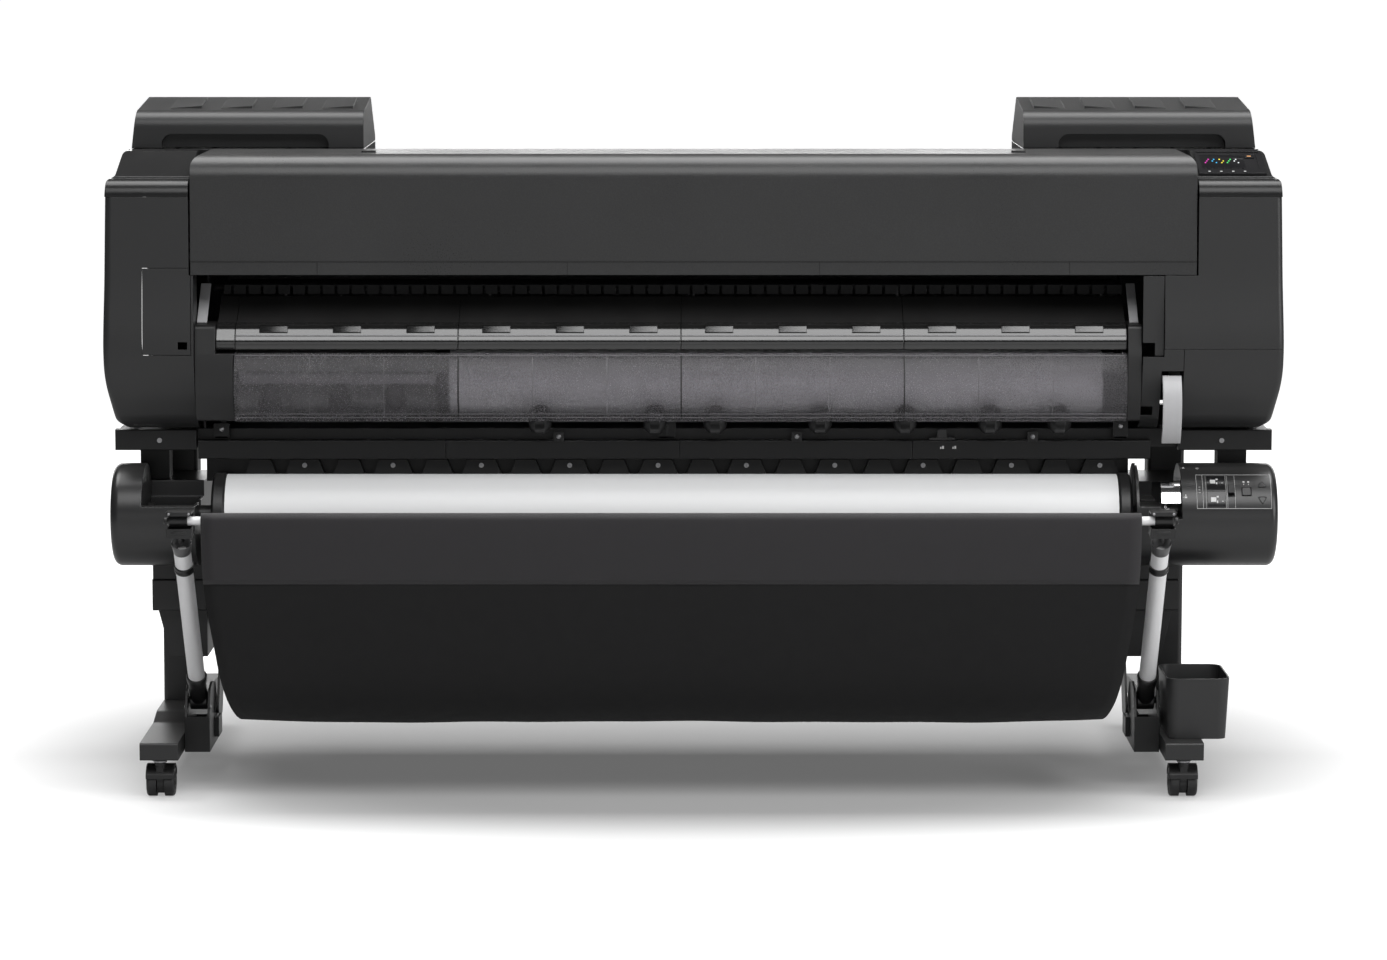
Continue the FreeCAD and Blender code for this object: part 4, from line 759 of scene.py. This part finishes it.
for x, turn, width, height in SMALL_MARKS:
    add_mark(x, turn, width, height, 0.0003)
for x in (0.426, 0.447):
    add_prism(bm, rectangle(x - 0.0032, x - 0.0010, 0.5875, 0.5910), facing_front(-0.1703),
              Vector((0, 0.0003, 0)))
    add_prism(bm, rectangle(x, x + 0.0032, 0.5875, 0.5925), facing_front(-0.1703),
              Vector((0, 0.0003, 0)))
new_piece("control_marks", bm, "machine", print_white)

wheel_black = moulded("wheel_black", (0.011, 0.011, 0.0115), rough=0.3, grain=0.0008)

# Round collars and a bearing ring sit in the open bays beside the lower roll's ends.
bm = bmesh.new()
for x0, length in ((-0.9365, 0.012), (0.7585, 0.010), (0.7755, 0.006)):
    add_turned(bm, Vector((x0, *DRUM_AXIS)), Vector((1, 0, 0)),
               [(0, 0.019), (0.001, 0.020), (length - 0.001, 0.020), (length, 0.019)], 32)
new_piece("spool_collars", bm, "lower_roll", wheel_black)

# ---- stand and casters --------------------------------------------------------------------
# Square steel legs and feet in dark powder coat, with moulded covers and four twin-wheel
# casters whose stems are bolted up into the feet; a moulded pocket stands on the right foot.
stand_coat = coated_steel("stand_coat", (0.014, 0.0142, 0.0147))
dress(stand_coat, "stand_legs", "stand_feet")
CORNERS = [f"{end}_{side}" for end in ("front", "rear") for side in ("left", "right")]
dress(path_black, "leg_covers", *[f"{corner}_caster_fork" for corner in CORNERS])
wheel_nylon = moulded("wheel_nylon", (0.013, 0.013, 0.0135), rough=0.32, grain=0.0007, edge=0.0012)
dress(wheel_nylon, *[f"{corner}_caster_wheels" for corner in CORNERS])
dress(cover_plastic, "accessory_pocket")

# Hub caps snap over the axle ends, and a zinc stem shows between each caster and its foot.
LEFT_X, RIGHT_X, FRONT_AXLE_Y, REAR_AXLE_Y, AXLE_Z = -0.910, 0.836, -0.253, 0.420, 0.025
CASTERS = ((LEFT_X, FRONT_AXLE_Y), (RIGHT_X, FRONT_AXLE_Y), (LEFT_X, REAR_AXLE_Y),
           (RIGHT_X, REAR_AXLE_Y))
HUB_CAP = ((0, 0.0150), (0.0006, 0.0150), (0.0008, 0.0125), (0.0004, 0.0115), (0.0004, 0.0060),
           (0.0012, 0.0052), (0.0014, 0.0030))
STEM = ((0, 0.0105), (0.001, 0.0115), (0.0030, 0.0115), (0.0040, 0.0105))
for corner, (x, y) in zip(CORNERS, CASTERS):
    bm = bmesh.new()
    for way in (-1, 1):
        add_turned(bm, Vector((x + way * 0.0239, y, AXLE_Z)), Vector((way, 0, 0)), HUB_CAP, 32)
    new_piece(f"{corner}_hub_caps", bm, f"{corner}_wheels", wheel_black)
    bm = bmesh.new()
    add_turned(bm, Vector((x, y - 0.015, 0.0605)), Vector((0, 0, 1)), STEM, 24)
    new_piece(f"{corner}_stem_ring", bm, f"{corner}_swivel", plated)

# ---- basket -------------------------------------------------------------------------------
# Two silver telescopic arms hold the front bar; the cloth is one woven sheet, hemmed in a wide
# double band at the front, sleeved over both bars and hanging under its own weight.
tube_silver = bare_metal("tube_silver", (0.84, 0.84, 0.85), rough=0.38, metal=0.1)
dress(tube_silver, "basket_bar", "basket_rear_bar")

ARM_X = (-0.8535, 0.7795)
ARM_FOOT, ARM_HEAD = Vector((0, -0.160, 0.150)), Vector((0, -0.403, 0.446))
ARM_RUN = (ARM_HEAD - ARM_FOOT).normalized()
FRONT_BAR = Vector((0, -0.430, 0.496))
TUBE_R = 0.0145


def up_arm(x, distance, from_head=False):
    """A point on an arm's axis, a distance along it from its foot or back from its head."""
    start = ARM_HEAD if from_head else ARM_FOOT
    return start + ARM_RUN * distance + Vector((x, 0, 0))


bm = bmesh.new()
for x in ARM_X:
    add_bar(bm, up_arm(x, 0.055), up_arm(x, -0.050, True), TUBE_R)
    add_bar(bm, up_arm(x, -0.040, True), up_arm(x, -0.006, True), TUBE_R)
new_piece("arm_tubes", bm, "basket_frame", tube_silver, ("basket_arms",))

joint_black = moulded("joint_black", (0.012, 0.012, 0.0125), rough=0.35, grain=0.0007, edge=0.0012)
bm = bmesh.new()
for x, way in zip(ARM_X, (-1, 1)):
    sideways = Vector((way, 0, 0))
    add_turned(bm, up_arm(x, 0.0) - Vector((0.015, 0, 0)), Vector((1, 0, 0)),
               [(0, 0.0145), (0.0015, 0.016), (0.0285, 0.016), (0.030, 0.0145)])
    add_turned(bm, up_arm(x, 0.004), ARM_RUN,
               [(0, 0.0135), (0.004, 0.0155), (0.040, 0.0155), (0.044, 0.0165), (0.052, 0.0175),
                (0.058, 0.0178), (0.060, 0.0170), (0.0605, 0.0152)])
    add_turned(bm, up_arm(x, -0.053, True), ARM_RUN,
               [(0, 0.0150), (0.0015, 0.0168), (0.005, 0.0168), (0.006, 0.0158), (0.009, 0.0158),
                (0.010, 0.0168), (0.0135, 0.0168), (0.015, 0.0150)])
    add_turned(bm, FRONT_BAR + Vector((x, 0, 0)) - sideways * 0.013, sideways,
               [(0, 0.0085), (0.001, 0.0100), (0.030, 0.0100), (0.031, 0.0090), (0.034, 0.0062),
                (0.038, 0.0062), (0.0395, 0.0050)])
    # The clamp wraps the bar from behind: a plate above, a tray below and a back between them.
    add_section(bm, [(-0.4500, 0.5095), (-0.4500, 0.5130), (-0.4120, 0.5130), (-0.4085, 0.4730),
                     (-0.4460, 0.4680), (-0.4480, 0.4845), (-0.4455, 0.4845), (-0.4435, 0.4715),
                     (-0.4130, 0.4755), (-0.4165, 0.5095)], x - 0.0215, x + 0.0215, rim=0.0004)
    add_prism(bm, rectangle(x - 0.0205, x + 0.0205, 0.5060, 0.5135, 0.003), facing_front(-0.4505),
              Vector((0, 0.0025, 0)), rim=0.0004)
    add_prism(bm, rectangle(x - 0.0120, x + 0.0120, 0.4755, 0.4800, 0.0015), facing_front(-0.4492),
              Vector((0, 0.0020, 0)), rim=0.0003)
    for edge in (x - 0.0205, x + 0.0185):
        add_section(bm, [(-0.4475, 0.4690), (-0.4475, 0.4840), (-0.4130, 0.4870), (-0.4130, 0.4740)],
                    edge, edge + 0.002)
new_piece("arm_joints", bm, "basket_frame", joint_black)

# A grey cup closes each arm's head, and the clamp's hook hangs into it.
cup_grey = moulded("cup_grey", (0.10, 0.10, 0.102), rough=0.32, grain=0.0006, bump=0.05, edge=0.0008)
bm = bmesh.new()
for x in ARM_X:
    add_turned(bm, up_arm(x, -0.009, True), ARM_RUN,
               [(0, 0.0130), (0.003, 0.0148), (0.013, 0.0158), (0.023, 0.0172), (0.0245, 0.0168),
                (0.0235, 0.0156), (0.014, 0.0128), (0.009, 0.0070)])
new_piece("arm_cups", bm, "basket_frame", cup_grey)
HOOK = ((0.0, -0.4300, 0.4760), (0.0, -0.4260, 0.4620), (0.0, -0.4150, 0.4570),
        (0.003, -0.4085, 0.4610))
HOOK_R = 0.0034
bm = bmesh.new()
for x in ARM_X:
    hook = [Vector(spot) + Vector((x, 0, 0)) for spot in HOOK]
    for start, end in zip(hook, hook[1:]):
        add_bar(bm, start, end, HOOK_R, 0.0010, 16)
new_piece("arm_hooks", bm, "basket_frame", joint_black)
bm = bmesh.new()
for x in ARM_X:
    for across in (-0.0165, 0.0165):
        add_screw(bm, Vector((x + across, -0.4503, 0.5097)), toward_front, 0.0022, 0.0010)
new_piece("clamp_screws", bm, "basket_frame", plated)
bm = bmesh.new()
for x in ARM_X:
    for y, z in ((-0.185, 0.142), (-0.060, 0.112)):
        for way in (-1, 1):
            add_screw(bm, Vector((x + way * 0.0215, y, z)), Vector((way, 0, 0)), 0.0035)
new_piece("arm_screws", bm, "machine", plated)


def woven_threads():
    """Plain weave seen along any of the three axes: threads crossing over and under."""
    group, given, out = new_group("woven_threads", {"Pitch": 0.0012, "Spread": 0.2},
                                  {"Height": "NodeSocketFloat", "Tone": "NodeSocketFloat"})
    place = object_place(group)
    split = group.nodes.new("ShaderNodeSeparateXYZ")
    wire(group, place, split.inputs[0])
    frequency = maths(group, "DIVIDE", 2 * math.pi, given.outputs["Pitch"])
    down = maths(group, "ADD", split.outputs["Z"], split.outputs["Y"])
    across = maths(group, "SINE", maths(group, "MULTIPLY", split.outputs["X"], frequency))
    along = maths(group, "SINE", maths(group, "MULTIPLY", down, frequency))
    crossing = maths(group, "MULTIPLY", across, along)
    wire(group, crossing, out.inputs["Height"])
    uneven = maths(group, "ADD", maths(group, "SUBTRACT", noise(group, place, 40.0, 5.0), 0.5),
                   maths(group, "MULTIPLY", crossing, 0.25))
    wire(group, maths(group, "ADD", maths(group, "MULTIPLY", uneven, given.outputs["Spread"]), 1.0),
         out.inputs["Tone"])
    return group


WOVEN = woven_threads()


def cloth_finish(name, colour, sheen):
    """Woven polyester: threads, slubs, a soft sheen and a little dust."""
    material, tree, shader = new_finish(name)
    weave = placed(tree, WOVEN, Pitch=0.0013, Spread=0.35)
    film = placed(tree, DUST, Amount=0.05)
    base = tinted(tree, colour, weave.outputs["Tone"])
    wire(tree, blended(tree, film.outputs["Mask"], base, (0.3, 0.29, 0.28)),
         shader.inputs["Base Color"])
    wire(tree, maths(tree, "MULTIPLY", weave.outputs["Tone"], 0.62), shader.inputs["Roughness"])
    shader.inputs["Specular IOR Level"].default_value = 0.25
    shader.inputs["Sheen Weight"].default_value = sheen
    shader.inputs["Sheen Roughness"].default_value = 0.5
    add_relief(tree, shader, weave.outputs["Height"], 0.35, 0.0003)
    return material


cloth_dark = cloth_finish("basket_weave", (0.0042, 0.0041, 0.0044), 0.03)
cloth_band = cloth_finish("basket_band_weave", (0.0205, 0.0193, 0.0212), 0.20)

CLOTH_MIDDLE_X = -0.037
# The hanging line from the front bar down, under and up to the rear bar: y, z, half width.
HANG = ((-0.4235, 0.4870, 0.781), (-0.4205, 0.4960, 0.781), (-0.4240, 0.5045, 0.781),
        (-0.4310, 0.5070, 0.781), (-0.4385, 0.5035, 0.781), (-0.4412, 0.4940, 0.781),
        (-0.4405, 0.4600, 0.7808), (-0.4370, 0.4200, 0.780), (-0.4290, 0.3700, 0.777),
        (-0.4180, 0.3200, 0.771), (-0.4040, 0.2700, 0.764), (-0.3860, 0.2200, 0.757),
        (-0.3600, 0.1780, 0.748), (-0.3250, 0.1490, 0.739), (-0.2800, 0.1330, 0.733),
        (-0.2300, 0.1285, 0.731), (-0.1800, 0.1350, 0.733), (-0.1200, 0.1620, 0.741),
        (-0.0700, 0.2020, 0.751), (-0.0300, 0.2500, 0.760), (0.0000, 0.2950, 0.767),
        (0.0180, 0.3300, 0.771), (0.0215, 0.3400, 0.771), (0.0300, 0.3410, 0.771),
        (0.0385, 0.3360, 0.771))


def smooth_line(points, steps):
    """Points along a smooth curve through the given ones."""
    padded = [points[0], *points, points[-1]]
    line = []
    for i in range(len(points) - 1):
        a, b, c, d = (Vector(p) for p in padded[i:i + 4])
        for j in range(steps):
            t = j / steps
            line.append(0.5 * (2 * b + (c - a) * t + (2 * a - 5 * b + 4 * c - d) * t * t
                               + (3 * b - a - 3 * c + d) * t ** 3))
    line.append(Vector(points[-1]))
    return line


def cloth_sheet(name, line, columns, rise=0.0, sag=0.0016):
    """A woven sheet along a line of (y, z, half width), with slow ripples across it."""
    bm = bmesh.new()
    rows = []
    for i, point in enumerate(line):
        before, after = line[max(i - 1, 0)], line[min(i + 1, len(line) - 1)]
        run = Vector((0, after.x - before.x, after.y - before.y)).normalized()
        outward = Vector((0, run.z, -run.y))
        share = i / (len(line) - 1)
        loose = math.sin(math.pi * min(1.0, max(0.0, (share - 0.15) / 0.8))) ** 2
        row = []
        for j in range(columns + 1):
            across = 2 * j / columns - 1
            x = CLOTH_MIDDLE_X + across * point.z
            ripple = (0.6 * math.sin(5.1 * across + 3.0 * share) + 0.3 * math.sin(13.7 * across + 1.3)
                      + 0.25 * math.sin(29.0 * across * (0.6 + 0.4 * share)))
            edge_curl = abs(across) ** 10
            shift = outward * (rise - sag * loose * (ripple + 2.5 * edge_curl))
            row.append(bm.verts.new(Vector((x, point.x, point.y)) + shift))
        rows.append(row)
    for upper, lower in zip(rows, rows[1:]):
        for j in range(columns):
            bm.faces.new((upper[j], upper[j + 1], lower[j + 1], lower[j]))
    bmesh.ops.recalc_face_normals(bm, faces=bm.faces)
    return finished_mesh(name, bm, smooth_angle=1.2)


def thicken(piece, thickness):
    """Gives a sheet its thickness as real geometry."""
    solid = piece.modifiers.new("thickness", "SOLIDIFY")
    solid.thickness = thickness
    solid.offset = 0.0
    bpy.context.view_layer.update()
    made = bpy.data.meshes.new_from_object(piece.evaluated_get(
        bpy.context.evaluated_depsgraph_get()))
    piece.modifiers.remove(solid)
    piece.data = made


hang_line = smooth_line(HANG, 5)
CLOTH_COLUMNS, CLOTH_THICK, BAND_THICK = 72, 0.0014, 0.0012
basket_sheet = linked("basket_sheet", cloth_sheet("basket_sheet", hang_line, CLOTH_COLUMNS), cloth_dark)
thicken(basket_sheet, CLOTH_THICK)
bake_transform(basket_sheet)
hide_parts("basket_cloth")

# The band starts on top of the bar and ends at its hem; it lies on the sheet's outer face.
BAND_START, BAND_HEM_Z = 12, 0.389
band_line = [p for p in hang_line[BAND_START:] if p.y > BAND_HEM_Z]
basket_band = linked("basket_band", cloth_sheet("basket_band", band_line, CLOTH_COLUMNS, rise=0.0016,
                                                sag=0.0), cloth_band)
thicken(basket_band, BAND_THICK)
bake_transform(basket_band)

# ---- floor, light and camera --------------------------------------------------------------
# A plain pale floor with a painted glow, seen only by the camera, that lifts the shadow under the
# machine a little and whitens the floor farther out; the camera also sees the floor a shade darker than
# the light it bounces. Soft boxes above, in front, low in front, to the right and behind, and a pale
# surround.
floor_mesh = bpy.data.meshes.new("floor")
REACH = 900.0
floor_mesh.from_pydata([(-REACH, -REACH, 0), (REACH, -REACH, 0), (REACH, REACH, 0),
                        (-REACH, REACH, 0)], [], [(0, 1, 2, 3)])
floor_paint, tree, floor_shader = new_finish("pale_floor")
linked("floor", floor_mesh, floor_paint)
floor_shader.inputs["Roughness"].default_value = 0.9
floor_shader.inputs["Specular IOR Level"].default_value = 0.0
seen = tree.nodes.new("ShaderNodeLightPath").outputs["Is Camera Ray"]
paint = tree.nodes.new("ShaderNodeMix")
paint.data_type = "RGBA"
paint.inputs["A"].default_value = (0.50, 0.50, 0.50, 1.0)
paint.inputs["B"].default_value = (0.45, 0.45, 0.45, 1.0)
wire(tree, seen, paint.inputs["Factor"])
wire(tree, paint.outputs["Result"], floor_shader.inputs["Base Color"])
spot = tree.nodes.new("ShaderNodeMapping")
spot.inputs["Location"].default_value = (0.0, -0.26, 0.0)
spot.inputs["Scale"].default_value = (1 / 1.3, 1 / 1.15, 1.0)
wire(tree, object_place(tree), spot.inputs["Vector"])
reach = tree.nodes.new("ShaderNodeVectorMath")
reach.operation = "LENGTH"
wire(tree, spot.outputs["Vector"], reach.inputs[0])
# Painted glow: camera-only emission, faint near the machine and full white farther out.
painted_glow = tree.nodes.new("ShaderNodeMapRange")
painted_glow.interpolation_type = "SMOOTHSTEP"
painted_glow.inputs["From Min"].default_value = 0.60
painted_glow.inputs["From Max"].default_value = 1.30
painted_glow.inputs["To Min"].default_value = 0.10
wire(tree, reach.outputs["Value"], painted_glow.inputs["Value"])
floor_shader.inputs["Emission Color"].default_value = (1.0, 1.0, 1.0, 1.0)
wire(tree, maths(tree, "MULTIPLY", seen, painted_glow.outputs["Result"]),
     floor_shader.inputs["Emission Strength"])


def soft_box(name, place, target, width, height, power):
    """A rectangular area light at a place, turned to a target; power in watts."""
    light = bpy.data.lights.new(name, "AREA")
    light.shape = "RECTANGLE"
    light.size, light.size_y = width, height
    light.energy = power
    lamp = bpy.data.objects.new(name, light)
    lamp.location = place
    lamp.rotation_euler = (Vector(target) - Vector(place)).to_track_quat("-Z", "Y").to_euler()
    bpy.context.scene.collection.objects.link(lamp)


soft_box("overhead_box", (0.0, 0.15, 3.5), (0.0, 0.0, 0.8), 5.5, 1.7, 200.0)
soft_box("front_box", (0.9, -4.6, 4.9), (0.0, 0.0, 0.6), 6.0, 3.0, 270.0)
soft_box("fill_box", (0.5, -6.5, 0.9), (0.0, 0.0, 0.5), 6.0, 1.4, 26.0)
soft_box("right_box", (5.5, -2.6, 1.9), (0.6, 0.0, 0.8), 2.4, 3.0, 110.0)
soft_box("rear_box", (0.0, 5.5, 1.55), (0.0, 0.0, 1.3), 9.0, 0.7, 95.0)

surround = bpy.data.worlds.new("surround")
surround.use_nodes = True
air = surround.node_tree
seen = air.nodes.new("ShaderNodeLightPath").outputs["Is Camera Ray"]
glow = maths(air, "ADD", maths(air, "MULTIPLY", seen, 1.0), 0.05)
wire(air, glow, air.nodes["Background"].inputs["Strength"])
air.nodes["Background"].inputs["Color"].default_value = (1.0, 1.0, 1.0, 1.0)
bpy.context.scene.world = surround
bpy.context.scene.view_settings.view_transform = "Standard"

camera_data = bpy.data.cameras.new("camera")
camera_data.sensor_width = 36.0
camera_data.lens = 122.6
camera_data.clip_end = 2500.0
camera = bpy.data.objects.new("camera", camera_data)
camera.location = (0.0, -8.2161, 1.4877)
camera.rotation_euler = (math.radians(83.238), 0.0, 0.0)
bpy.context.scene.collection.objects.link(camera)
bpy.context.scene.camera = camera

bpy.context.view_layer.update()
